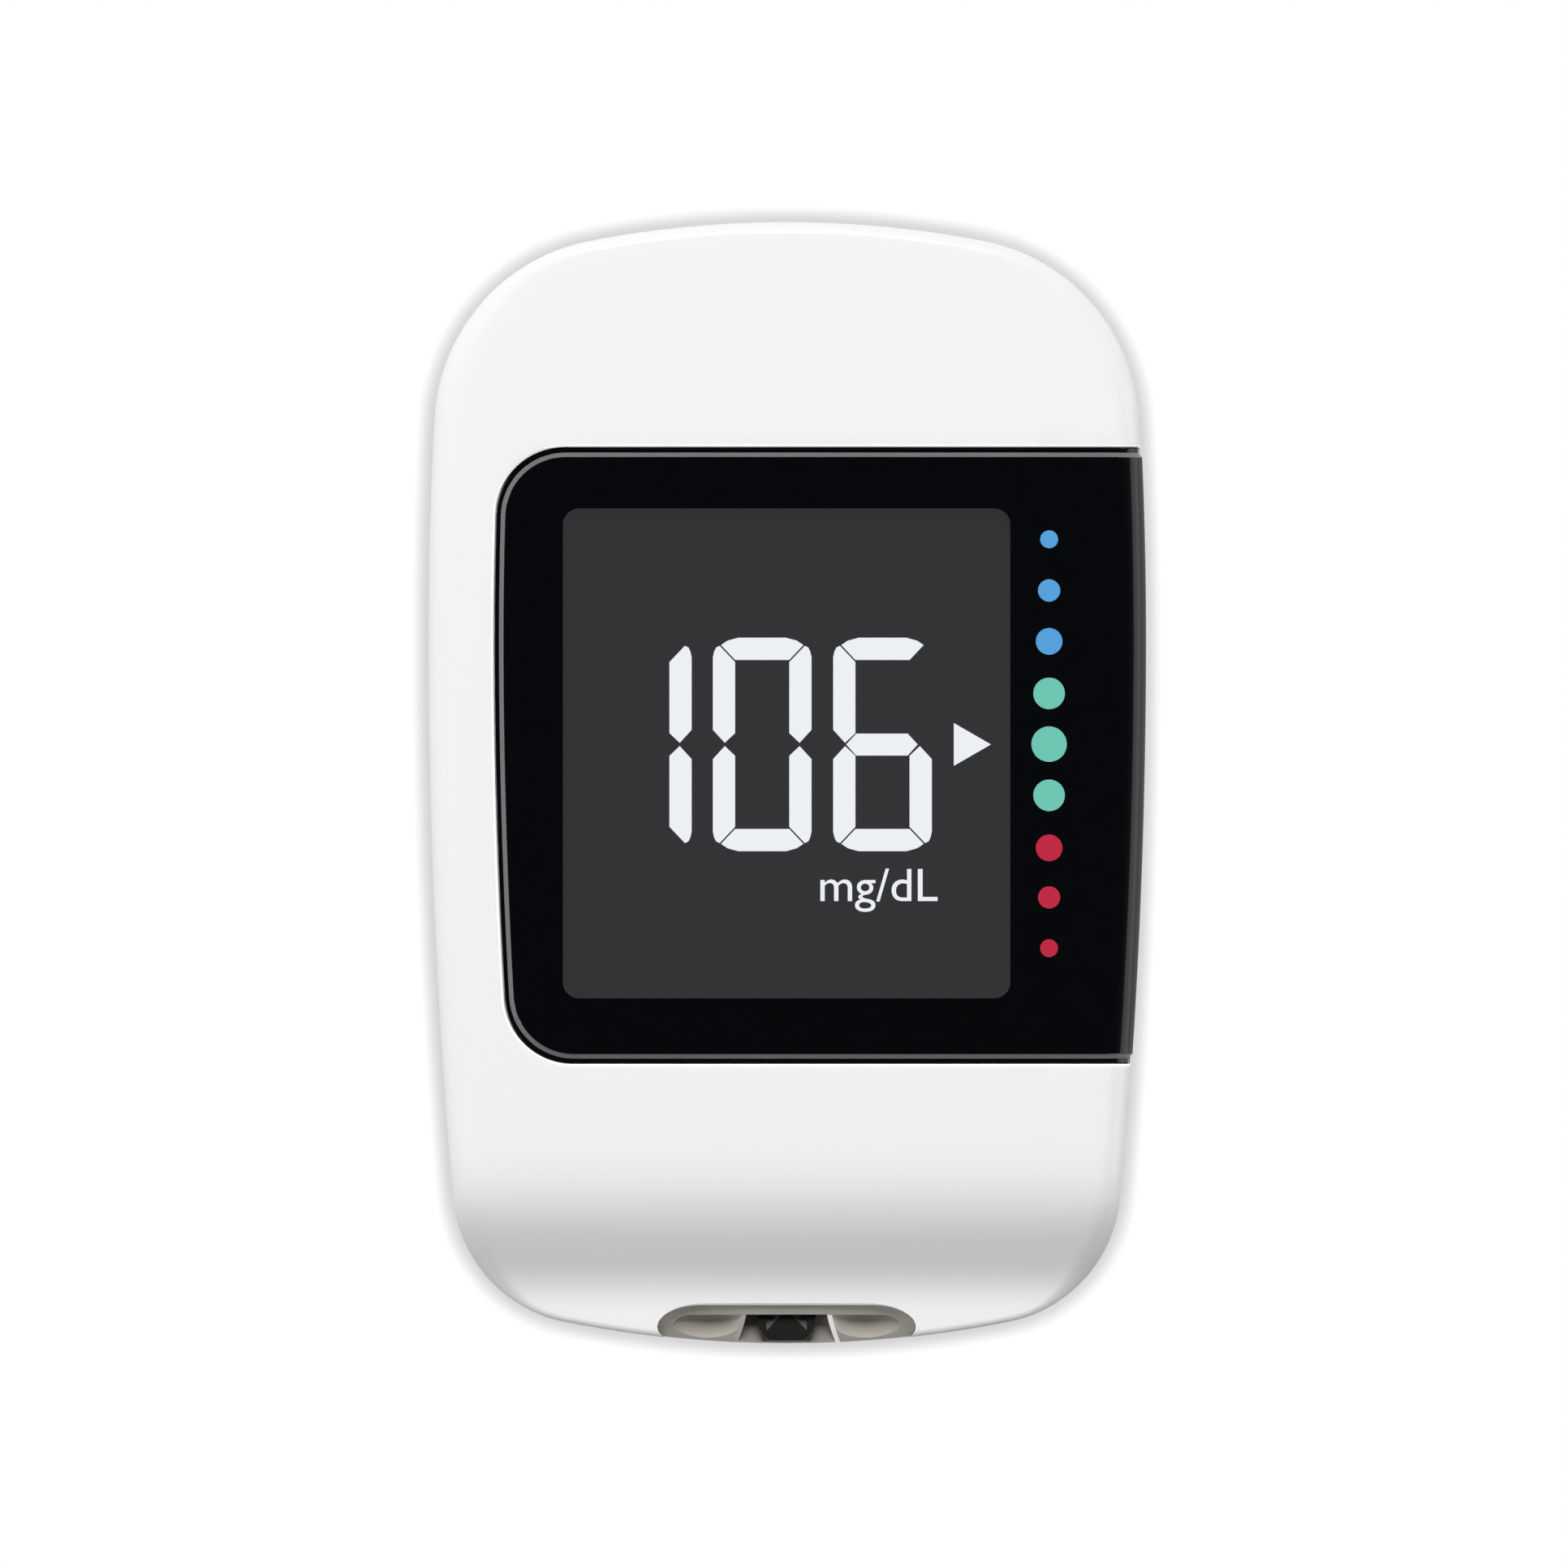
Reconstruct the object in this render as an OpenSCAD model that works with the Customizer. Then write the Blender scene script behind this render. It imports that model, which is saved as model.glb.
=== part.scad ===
// Blood glucose meter, lying on its back with the display up.
// X runs across the meter, +X is the side that the display panel wraps round.
// Y runs along it, -Y is the end with the strip port, and +Z is up through the display.
// The origin is at the middle of the length and width, on the rear face.

/* [Body] */
// Width of the two shells at the widest line
body_w = 49; // [48.8:0.1:49.4]
// Length from the strip port to the far end
body_l = 76.8; // [76.6:0.1:77.2]
// Thickness over the display panel
body_t = 15.3; // [15.2:0.1:15.5]
// How far the widest line lies beyond the middle of the length
wide_y = 10; // [9:0.5:11]
// Height of the line where the two shells meet
parting_z = 5.8; // [5.7:0.1:5.9]
// Radius of the front edge round the sides and the far end
edge_r = 1.8; // [1.6:0.1:2.2]
// How far the rolled rear edge reaches inwards
rear_roll = 5.2; // [4.8:0.1:5.4]
// How steeply the chin falls to the strip port, as a rise over a run
chin_slope = 0.72; // [0.6:0.02:0.74]

/* [Display] */
// Width of the white rim between the side and the panel
panel_rim = 4.55; // [4.4:0.05:4.7]
// Far end of the panel, from the middle of the meter
panel_far = 22.9; // [22.5:0.1:23.2]
// Near end of the panel, towards the strip port
panel_near = -19.1; // [-19.4:0.1:-18.8]
// Radius of the panel's two corners
panel_corner = 4.7; // [4:0.1:5]
// Width of the clear window
window_w = 30.6; // [30:0.1:31]
// Length of the clear window
window_l = 33.5; // [33:0.1:34]

/* [Strip port] */
// Width of the port's bezel
port_w = 17.8; // [17:0.1:18]
// Height of the port's bezel
port_h = 3.8; // [3.6:0.1:3.9]
// Width of a test strip's slot
strip_w = 5.1; // [4.9:0.1:5.2]

/* [Moving parts] */
// Length of the side button
button_l = 16; // [15:0.5:16.5]
// Travel of the side button
button_travel = 0.5; // [0.3:0.1:0.6]
// Travel of the strip ejector
ejector_travel = 6; // [5:0.5:6]

/* [Hidden] */
$fn = 48;

white_shell = "#eef0ee";
gloss_black = "#111214";
board_green = "#1f5a3a";
bright_metal = "#c9cbcd";
gold_metal = "#c9a24a";

// Plan outline. Each quarter is three arcs that meet without a corner: the long side, the
// corner and the end. The side's radius and the two angles where the arcs meet are chosen.
far_side_r = 285;
far_side_a = 3;
far_end_a = 79.1;
near_side_r = 441;
near_side_a = 5;
near_end_a = 78.6;
end_steps = 4;
corner_steps = 14;
far_side_steps = 4;
near_side_steps = 12;

// Front face. It is slightly crowned, and the chin sweeps down to the strip port.
panel_proud = 0.1;
crown_y = 8;
crown_ry = 1000;
crown_rx = 600;
chin_start = -25;
chin_steep = -32.4;
chin_end = -36.7;

// Edge round the front face: a wide round that meets the wall in a small one. It turns
// into a wide soft bevel at the near end, where the strip port opens in it.
corner_r = 0.3;
corner_a = 30;
low_wall = 0.3;
port_edge_w = 4.2;
port_edge_h = 5.4;
port_bend = 0.7;
dip_from = 16;
dip_to = 4;

front_wall = 2.2;
rear_wall = 1.6;

// Heights of what lies between the shells
panel_under = 13.9;
tape_t = 0.15;
bed_under = 12.5;
board_z = 6.4;
board_t = 0.8;
board_top = board_z + board_t;
lcd_x = 16.8;
lcd_y0 = -16.6;
lcd_y1 = 20.4;
lcd_gap = 0.3;
frame_wall = 1.2;
frame_z = board_top + 0.05;
frame_top = 12.3;
shelf_z = 10.6;
window_y = 2.05;
led_y = 18;

// Display panel's skirt and the side button in it
skirt_t = 1;
skirt_gap = 0.1;
panel_rows = [20, 34];
button_rows = [25, 32];
button_y = 6.5;
button_z = 9.2;
button_h = 3.2;
button_gap = 0.12;
button_proud = 0.1;
flange_edge = 0.7;
flange_t = 0.65;
switch_tip = 21.7;
plunger_back = 20.65;

// Strip port
port_z = parting_z + port_h/2;
port_wall = 0.5;
port_back = -34.6;
channel_back_w = 5.2;
channel_mouth_w = 7;
rib_t = 0.4;
slot_z = 8.5;
slot_h = 0.9;
contact_places = [-2, -1.15, 1.15, 2];

// Receptacle for the charging and data plug
usb_w = 7.5;
usb_h = 2.6;
usb_z = board_top + usb_h/2;
usb_mouth_w = 10.2;
usb_mouth_h = 4.6;
usb_back = 31.8;
usb_front = body_l/2 - 1.6;

// Battery bay
cell_r = 10;
cell_h = 3.2;
cell_x = 10.4;
cell_y = 12;
cell_z = 1.75;
pocket_r = 10.3;
cup_wall = 1;
cup_roof = 5.4;
cup_top = 6.2;
door_t = 1.35;
door_w = 41.8;
door_near = -0.6;
door_far = 28;
door_gap = 0.12;
hinge_r = 0.6;
hinge_y = door_far - hinge_r;
hinge_z = 0.75;
hinge_x = 11;
hinge_tab_w = 4;
tab_z = 1.7;
screw_x = 17.2;
screw_y = 25.2;
screw_seat = 3;
board_screw_x = 15.5;
board_screw_y = -21.6;

// Strip ejector
ejector_recess = 1.2;
recess_w = 9.2;
recess_far = -12.9;
recess_near = -27.6;
pad_w = 8;
pad_far = -13.4;
pad_l = 7;
stem_w = 3;
stem_far = -15;
stem_l = 4;
floor_top = 2.2;
carriage_z = 2.3;
carriage_t = 1;
arm_w = 1.2;
arm_far = -24;
spring_x = 2.5;
spring_z = 3.55;
spring_r = 0.85;
wire_r = 0.15;
spring_turns = 8;
carriage_near = -21;
spring_rib = -31.5;

// ---------------------------------------------------------------- outline and forms

// The three arcs of one quarter, each [centre x, centre y, radius], from the widest line
function quarter(side_r, side_a, end_a, reach) =
    let (edge = body_w/2 - side_r + side_r*cos(side_a),
         k1 = 1 - cos(side_a)/cos(end_a),
         k0 = edge/cos(end_a),
         corner_r = (reach - side_r*sin(side_a) - k0*(1 - sin(end_a)))
                  / (sin(end_a) - sin(side_a) + k1*(1 - sin(end_a))),
         end_r = corner_r*k1 + k0,
         corner_y = (side_r - corner_r)*sin(side_a))
    [[body_w/2 - side_r, 0, side_r],
     [edge - corner_r*cos(side_a), corner_y, corner_r],
     [0, corner_y + (corner_r - end_r)*sin(end_a), end_r]];

far_arcs = quarter(far_side_r, far_side_a, far_end_a, body_l/2 - wide_y);
near_arcs = quarter(near_side_r, near_side_a, near_end_a, body_l/2 + wide_y);

// Rows along one arc, each [centre x, centre y, radius, angle]; way is 1 far and -1 near
function arc_rows(arc, a0, a1, steps, way) =
    [for (i = [0:steps - 1])
        [arc[0], wide_y + way*arc[1], arc[2], way*(a0 + (a1 - a0)*i/steps)]];

// Rows from the near tip, along the +X side, to the far tip; skip 2 takes half as many
function outline_rows(skip) = concat(
    arc_rows(near_arcs[2], 90, near_end_a, end_steps/skip, -1),
    arc_rows(near_arcs[1], near_end_a, near_side_a, corner_steps/skip, -1),
    arc_rows(near_arcs[0], near_side_a, 0, near_side_steps/skip, -1),
    arc_rows(far_arcs[0], 0, far_side_a, far_side_steps/skip, 1),
    arc_rows(far_arcs[1], far_side_a, far_end_a, corner_steps/skip, 1),
    arc_rows(far_arcs[2], far_end_a, 90, end_steps/skip, 1),
    [[0, wide_y + far_arcs[2][1], far_arcs[2][2], 90]]);

fine_rows = outline_rows(1);
near_tip = fine_rows[0];
coarse_rows = outline_rows(2);

// Where a row meets the outline moved inwards by d
function row_point(row, d) =
    [row[0] + (row[2] - d)*cos(row[3]), row[1] + (row[2] - d)*sin(row[3])];

// The row at one place of the whole loop: the +X side up, and the -X side back down
function loop_row(rows, i) = let (m = len(rows) - 1) rows[i <= m ? i : 2*m - i];

function on_side(rows, i, p) = i < len(rows) ? p : [-p[0], p[1], p[2]];

// Half width of the outline moved inwards by d, between the two corners
function side_x(y, d) =
    let (r = y > wide_y ? far_side_r : near_side_r)
    body_w/2 - r + sqrt((r - d)^2 - (y - wide_y)^2);

// The chin's slope grows and fades as a sine squared, so this is its sum
function chin_drop(y) =
    let (h0 = chin_start - chin_steep, h1 = chin_steep - chin_end,
         v = min(max(chin_start - y, 0), h0), w = min(max(chin_steep - y, 0), h1))
    chin_slope/2*(v - h0/PI*sin(180*v/h0) + w + h1/PI*sin(180*w/h1));

// Height of the white front face
function face_z(x, y) = body_t - panel_proud - (y - crown_y)^2/(2*crown_ry)
    - x^2/(2*crown_rx) - chin_drop(y);

// 0 round the body, and 1 where the edge widens to the strip port's bevel
function dip_part(row) =
    let (p = row_point(row, 0),
         u = p[1] > 0 ? 0 : min(max((dip_from - abs(p[0]))/(dip_from - dip_to), 0), 1))
    u*u*(3 - 2*u);

// Width and depth of the front's round edge at a row, s inside the outer skin
function edge_w(row, s) = max(edge_r + (port_edge_w - edge_r)*dip_part(row) - s, 0.3);
function edge_h(row, s) = max(edge_r + (port_edge_h - edge_r)*dip_part(row) - s, 0.3);

// Place on the front's round edge: a is 0 at the wall's top and 90 on the face
function edge_point(row, s, a, flat) =
    let (e = 1 + port_bend*dip_part(row), w = edge_w(row, s), h = edge_h(row, s),
         ca = cos(corner_a), sa = sin(corner_a), wide = a >= corner_a,
         step = wide ? w*(ca^e - cos(a)^e) + corner_r*(1 - ca) : corner_r*(1 - cos(a)),
         drop = wide ? h*(1 - sin(a)^e) : h*(1 - sa^e) + corner_r*(sa - sin(a)),
         full = h*(1 - sa^e) + corner_r*sa,
         p = row_point(row, s + step),
         top = is_undef(flat) ? face_z(p[0], p[1]) - s : flat)
    [p[0], p[1], top - drop*min(1, (top - parting_z - low_wall)/full)];

// Place on the rear's rolled edge: a is 0 at the parting line and 90 on the rear face
function rear_point(row, s, a, flat) =
    let (p = row_point(row, s + (rear_roll - s)*(1 - cos(a))))
    [p[0], p[1], flat + (parting_z - flat)*(1 - sin(a))];

// A shell's form, s inside its outer skin. Rings climb the edge and rows cross the face.
// With flat the face is a plane, and skirt carries the form past the parting line.
module shell_form(rows, s, rings, cols, flat, skirt = 0, down = false) {
    m = len(rows) - 1;
    n = 2*m;
    has_base = skirt > 0 || !down ? 1 : 0;
    last = (rings + has_base)*n;
    inner = last + n;
    base_z = parting_z + (down ? skirt : -skirt);
    function edge(row, a) = down ? rear_point(row, s, a, flat) : edge_point(row, s, a, flat);
    points = concat(
        has_base == 1 ? [for (i = [0:n - 1])
            let (p = row_point(loop_row(rows, i), s)) on_side(rows, i, [p[0], p[1], base_z])] : [],
        [for (j = [0:rings]) for (i = [0:n - 1])
            on_side(rows, i, edge(loop_row(rows, i), 90*j/rings))],
        cols == 0 ? [] : [for (k = [1:m - 1]) for (c = [1:cols - 1])
            let (p = edge(rows[k], 90), x = p[0]*(1 - 2*c/cols))
            [x, p[1], is_undef(flat) ? face_z(x, p[1]) - s : flat]]);
    function face_point(k, c) =
        k == 0 ? last : k == m ? last + m :
        c == 0 ? last + k : c == cols ? last + n - k : inner + (k - 1)*(cols - 1) + c - 1;
    faces = concat(
        [[for (i = [0:n - 1]) i]],
        [for (j = [0:rings + has_base - 1]) for (i = [0:n - 1])
            let (a = j*n + i, b = j*n + (i + 1)%n) each [[a, a + n, b + n], [a, b + n, b]]],
        cols == 0 ? [[for (i = [n - 1:-1:0]) last + i]] : concat(
            [for (c = [0:cols - 1]) [last, face_point(1, c + 1), face_point(1, c)]],
            [for (k = [1:m - 2]) for (c = [0:cols - 1])
                let (p = face_point(k, c), q = face_point(k, c + 1),
                     r = face_point(k + 1, c + 1), t = face_point(k + 1, c))
                each [[p, q, r], [p, r, t]]],
            [for (c = [0:cols - 1])
                [face_point(m - 1, c), face_point(m - 1, c + 1), last + m]]));
    polyhedron(points, down ? [for (f = faces) [for (i = [len(f) - 1:-1:0]) f[i]]] : faces);
}

// The +X side and the face only, between two rows, for what follows the front's skin
module side_form(span, s, rings, cols, flat, x_end = -21.5) {
    base_z = parting_z - 2;
    q = rings + cols + 4;
    rows = [for (k = [span[0]:span[1]]) fine_rows[k]];
    last = (len(rows) - 1)*q;
    points = [for (row = rows) let (out = row_point(row, s), in = edge_point(row, s, 90, flat))
        each concat(
            [[out[0], out[1], base_z], [out[0], out[1], parting_z]],
            [for (j = [0:rings]) edge_point(row, s, 90*j/rings, flat)],
            [for (c = [1:cols])
                let (x = in[0] + (x_end - in[0])*c/cols)
                [x, in[1], is_undef(flat) ? face_z(x, in[1]) - s : flat]],
            [[x_end, in[1], base_z]])];
    faces = concat(
        [for (i = [1:q - 2]) [0, i + 1, i]],
        [for (k = [0:len(rows) - 2]) for (i = [0:q - 1])
            let (a = k*q + i, b = k*q + (i + 1)%q) each [[a, b, b + q], [a, b + q, a + q]]],
        [for (i = [1:q - 2]) [last, last + i, last + i + 1]]);
    polyhedron(points, faces);
}

// ---------------------------------------------------------------- small helpers

function arc_points(x, y, r, a0, a1, steps) =
    [for (i = [0:steps]) let (a = a0 + (a1 - a0)*i/steps) [x + r*cos(a), y + r*sin(a)]];

// Rectangle with round corners, from its corner points
function round_rect(x0, y0, x1, y1, r, steps = 6) = concat(
    arc_points(x1 - r, y1 - r, r, 0, 90, steps), arc_points(x0 + r, y1 - r, r, 90, 180, steps),
    arc_points(x0 + r, y0 + r, r, 180, 270, steps), arc_points(x1 - r, y0 + r, r, 270, 360, steps));

// Block between two heights with round corners in plan
module plate(x0, y0, x1, y1, z0, z1, r) {
    translate([0, 0, z0]) linear_extrude(z1 - z0) polygon(round_rect(x0, y0, x1, y1, r));
}

module block(x0, y0, z0, x1, y1, z1) {
    translate([x0, y0, z0]) cube([x1 - x0, y1 - y0, z1 - z0]);
}

module post(x, y, r, z0, z1) {
    translate([x, y, z0]) cylinder(r = r, h = z1 - z0);
}

module both_sides() {
    children();
    mirror([1, 0, 0]) children();
}

// Bar along Y with a round-ended section, w by h, or with round corners of radius r
module capsule_y(w, h, z, y0, y1, r) {
    corner = is_undef(r) ? h/2 - 0.001 : r;
    translate([0, y1, z]) rotate([90, 0, 0]) linear_extrude(y1 - y0)
        polygon(round_rect(-w/2, -h/2, w/2, h/2, corner));
}

// Bar along X with a round-ended section, l along Y and h along Z
module capsule_x(l, h, y, z, x0, x1) {
    translate([x0, y, z]) rotate([90, 0, 90]) linear_extrude(x1 - x0)
        polygon(concat(arc_points(l/2 - h/2, 0, h/2, -90, 90, 12),
                       arc_points(h/2 - l/2, 0, h/2, 90, 270, 12)));
}

// Plan of the display panel: the -X edge follows the body's side, g wider all round
module panel_plan(g = 0) {
    r = panel_corner;
    d = panel_rim - g;
    y1 = panel_far + g - r;
    y0 = panel_near - g + r;
    x1 = -side_x(y1, d + r);
    x0 = -side_x(y0, d + r);
    a1 = asin((y1 - wide_y)/(far_side_r - d - r));
    a0 = asin((y0 - wide_y)/(near_side_r - d - r));
    steps = 12;
    polygon(concat([[body_w, panel_far + g]], arc_points(x1, y1, r, 90, 180 - a1, 10),
        [for (i = [1:steps - 1]) let (y = y1 + (y0 - y1)*i/steps) [-side_x(y, d), y]],
        arc_points(x0, y0, r, 180 - a0, 270, 10), [[body_w, panel_near - g]]));
}

module window_prism(z0, z1) {
    plate(-window_w/2, window_y - window_l/2, window_w/2, window_y + window_l/2, z0, z1, 1.1);
}

// ---------------------------------------------------------------- shells and panel

module front_housing() {
    color(white_shell) difference() {
        union() {
            difference() {
                shell_form(fine_rows, 0, 8, 8);
                front_cavity();
            }
            // Bed under the panel, and a frame that lines the display's opening
            block(-20.6, panel_near - 1, bed_under, 20.6, panel_far + 1, panel_under - tape_t - 0.3);
            both_sides() {
                post(screw_x, screw_y, 2.2, parting_z, bed_under + 0.6);
                post(board_screw_x, board_screw_y, 2, board_top, bed_under + 0.6);
                case_hook();
            }
        }
        panel_pocket();
        lcd_opening(bed_under - 1);
        both_sides() {
            post(screw_x, screw_y, 0.8, parting_z - 1, parting_z + 6);
            post(board_screw_x, board_screw_y, 0.7, board_z, board_top + 4);
        }
        capsule_x(button_l + 2*flange_edge + 0.5, button_h + 2*flange_edge + 0.5,
                  button_y, button_z, body_w/2 - 5, body_w/2 + 2);
        capsule_y(port_w + 0.1, port_h + 0.1, port_z, -body_l/2 - 2, port_back + 1);
        bezel_ears(0.05);
        // Opening for the charging and data plug at the far end
        capsule_y(usb_mouth_w, usb_mouth_h, usb_z, body_l/2 - 1.5, body_l/2 + 1, 1.4);
        capsule_y(usb_w + 0.3, usb_h + 0.3, usb_z, body_l/2 - 4.5, body_l/2 - 1, 0.2);
    }
}

// Hole that the display shows through
module lcd_opening(z0) {
    plate(-lcd_x - lcd_gap, lcd_y0 - lcd_gap, lcd_x + lcd_gap, lcd_y1 + lcd_gap, z0, body_t, 1);
}

module front_cavity() {
    shell_form(coarse_rows, front_wall, 2, 2, skirt = 1);
}

// Hook that snaps behind the rear shell's wall near the strip port
module case_hook() {
    hook_x = 11.5;
    hook_y = -34.6;
    translate([hook_x, hook_y, 0]) rotate([90, 0, 90]) linear_extrude(3.4)
        polygon([[0, 8.4], [1.1, 8.4], [1.1, 3.8], [0.2, 3.8], [-0.55, 4.5], [-0.55, 4.9], [0, 4.9]]);
}

module panel_pocket() {
    difference() {
        translate([0, 0, parting_z - 1]) linear_extrude(body_t) panel_plan(0.08);
        side_form(panel_rows, skirt_t + skirt_gap, 5, 1, panel_under - tape_t, x_end = -24);
    }
}

module display_surround() {
    color(gloss_black) difference() {
        intersection() {
            side_form(panel_rows, -panel_proud, 8, 7);
            translate([0, 0, parting_z + 0.1]) linear_extrude(body_t) panel_plan();
        }
        side_form(panel_rows, skirt_t, 6, 1, panel_under, x_end = -24);
        window_prism(panel_under - 1, body_t + 1);
        capsule_x(button_l + 2*button_gap, button_h + 2*button_gap, button_y, button_z,
                  body_w/2 - 5, body_w/2 + 2);
    }
}

module display_window() {
    color("#30343a") intersection() {
        side_form(panel_rows, -panel_proud, 1, 7);
        window_prism(panel_under, body_t + 1);
    }
}

// Double-sided tape frame that bonds the panel to its bed
module panel_tape() {
    color("#2a2a2c") difference() {
        intersection() {
            translate([0, 0, panel_under - tape_t]) linear_extrude(tape_t) panel_plan(-0.7);
            block(-body_w, -body_l, 0, 18, body_l, body_t);
        }
        lcd_opening(panel_under - 1);
    }
}

module rear_housing() {
    color(white_shell) difference() {
        union() {
            difference() {
                shell_form(fine_rows, 0, 6, 0, 0, down = true);
                shell_form(coarse_rows, rear_wall, 3, 0, rear_wall, skirt = 1, down = true);
            }
            // Ledge round the battery bay, the cups for the cells and the screw posts
            plate(-door_w/2 + 0.6, door_near - 0.9, door_w/2 - 0.6, door_far + 0.6, 1, 2.4, 3);
            both_sides() {
                post(cell_x, cell_y, pocket_r + cup_wall, 1, cup_top);
                post(screw_x, screw_y, 2.5, 1, parting_z);
            }
            // Thick floor round the ejector, and the rib that its spring pushes on
            plate(-recess_w/2 - 1.2, recess_near - 1.2, recess_w/2 + 1.2, recess_far + 1.2,
                  1, floor_top, 1.5);
            block(spring_x - 1.6, spring_rib - 1, 1, spring_x + 1.6, spring_rib, 4.8);
        }
        door_space();
        both_sides() {
            post(cell_x, cell_y, pocket_r, 0, cup_roof);
            post(screw_x, screw_y, 1.9, 0, screw_seat);
            post(screw_x, screw_y, 1.1, 0, parting_z + 1);
            block(11.2, -35.4, 3.6, 15.2, -34, 5.2);
        }
        // The cups open into each other between the cells
        block(-2, cell_y - 4, 0, 2, cell_y + 4, cup_roof);
        // Slits for the contacts' tails
        both_sides()
            block(cell_x - 1.7, cell_y - 4.2, cup_roof - 1, cell_x + 1.7, cell_y - 3.2, cup_top + 1);
        ejector_cut();
    }
}

// The door's plan, g wider all round: its far corners are square, so that it can swing
module door_plate(g, z0, z1) {
    x = door_w/2 + g;
    r = 3 + g;
    translate([0, 0, z0]) linear_extrude(z1 - z0) polygon(concat(
        arc_points(r - x, door_near - g + r, r, 180, 270, 6),
        arc_points(x - r, door_near - g + r, r, 270, 360, 6),
        [[x, door_far + g], [-x, door_far + g]]));
}

// Room for the door, its hinge tabs and its latch
module door_space() {
    g = door_gap;
    door_plate(g, -1, door_t + g);
    both_sides() {
        x0 = hinge_x - hinge_tab_w/2 - 0.2;
        x1 = hinge_x + hinge_tab_w/2 + 0.2;
        block(x0, door_far - 2.6, 0.9, x1, door_far + g, 3.2);
        block(x0, door_far - 1, tab_z - 0.15, x1, door_far + 2.1, 3.2);
    }
    // Finger notch beside the latch
    translate([0, door_near - 0.4, -0.6]) rotate([0, 90, 0]) cylinder(r = 1.7, h = 9, center = true);
}

module ejector_cut() {
    plate(-recess_w/2, recess_near, recess_w/2, recess_far, -1, ejector_recess, 1.5);
    block(-stem_w/2 - 0.15, stem_far - stem_l - ejector_travel - 0.3, 0,
          stem_w/2 + 0.15, stem_far + 0.3, floor_top + 1);
}

module battery_door() {
    color(white_shell) difference() {
        union() {
            intersection() {
                shell_form(fine_rows, 0, 6, 0, 0, down = true);
                door_plate(0, 0.15, door_t);
                // The far edge is round, and the door swings about its centre line
                union() {
                    block(-door_w/2, door_near - 1, -1, door_w/2, hinge_y, door_t + 1);
                    translate([0, hinge_y, hinge_z]) rotate([0, 90, 0])
                        cylinder(r = hinge_r, h = door_w, center = true);
                }
            }
            both_sides() hinge_tab();
        }
        // A U-shaped slot frees the latch tongue
        both_sides() block(5, door_near + 0.9, -1, 5.6, door_near + 7, door_t + 1);
        // Grip ridges on the tongue are left between these grooves
        for (i = [0:3])
            translate([0, door_near + 2.2 + 1.2*i, 0.05]) rotate([0, 90, 0])
                cylinder(r = 0.3, h = 7, center = true);
    }
}

// Tab that reaches in over the bay's far wall, so that the door swings on it
module hinge_tab() {
    translate([hinge_x - hinge_tab_w/2, door_far, 0]) rotate([90, 0, 90]) linear_extrude(hinge_tab_w)
        polygon([[-1.1, door_t - 0.2], [-1.1, tab_z + 0.8], [1.5, tab_z + 0.8], [1.5, tab_z],
                 [-0.2, tab_z], [-0.2, door_t - 0.1], [-0.5, door_t - 0.2]]);
}

// ---------------------------------------------------------------- strip port

// The near end's skin as a revolved form, out past the shell by g
module end_form(g) {
    end = near_arcs[2];
    tip = -body_l/2;
    translate([0, wide_y - end[1], 0]) rotate_extrude($fn = 180)
        polygon(concat([[end[2] - 9, parting_z - 1], [end[2] + g, parting_z - 1]],
            [for (a = [0:10:90]) let (p = edge_point(near_tip, -g, a))
                [end[2] + tip - p[1], p[2]]],
            [[end[2] - 9, edge_point(near_tip, 0, 90)[2]]]));
}

module bezel_ears(g) {
    both_sides() block(port_w/2 - 1 - g, port_back - 0.4 - g, port_z - 1.3 - g,
                       port_w/2 + 0.9 + g, port_back + 0.5 + g, port_z + 0.9 + g);
}

// Half width of the channel that leads a strip in: it flares towards the mouth
function channel_x(y) =
    let (u = max(0, (port_back - y)/(port_back + body_l/2)))
    channel_back_w/2 + (channel_mouth_w - channel_back_w)/2*u^2;

module channel_plan(g, y0, y1) {
    steps = 8;
    edge = [for (i = [0:steps]) let (y = y0 + (y1 - y0)*i/steps) [channel_x(y) + g, y]];
    polygon(concat(edge, [for (i = [steps:-1:0]) [-edge[i][0], edge[i][1]]]));
}

module port_bezel() {
    color("#b9b2a8") difference() {
        union() {
            intersection() {
                end_form(0.05);
                capsule_y(port_w, port_h, port_z, -body_l/2 - 2, port_back + 0.9);
            }
            bezel_ears(0);
        }
        // Finger scoops on both sides of the ribs
        both_sides() difference() {
            intersection() {
                capsule_y(port_w - 2*port_wall, port_h - 2*port_wall, port_z,
                          -body_l/2 - 3, port_back + 0.4);
                translate([5.9, -38.6, port_z + 0.8]) sphere(r = 4.1, $fn = 64);
            }
            linear_extrude(body_t) channel_plan(rib_t, -body_l/2 - 4, port_back + 2);
        }
        intersection() {
            capsule_y(port_w - 2*port_wall, port_h - 2*port_wall, port_z, -body_l/2 - 3, port_back + 0.2);
            linear_extrude(body_t) channel_plan(0, -body_l/2 - 4, port_back + 2);
        }
        // Slot through the back wall
        block(-strip_w/2 - 0.1, port_back - 1, slot_z - 0.6, strip_w/2 + 0.1, port_back + 2, slot_z + 0.6);
    }
}

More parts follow.
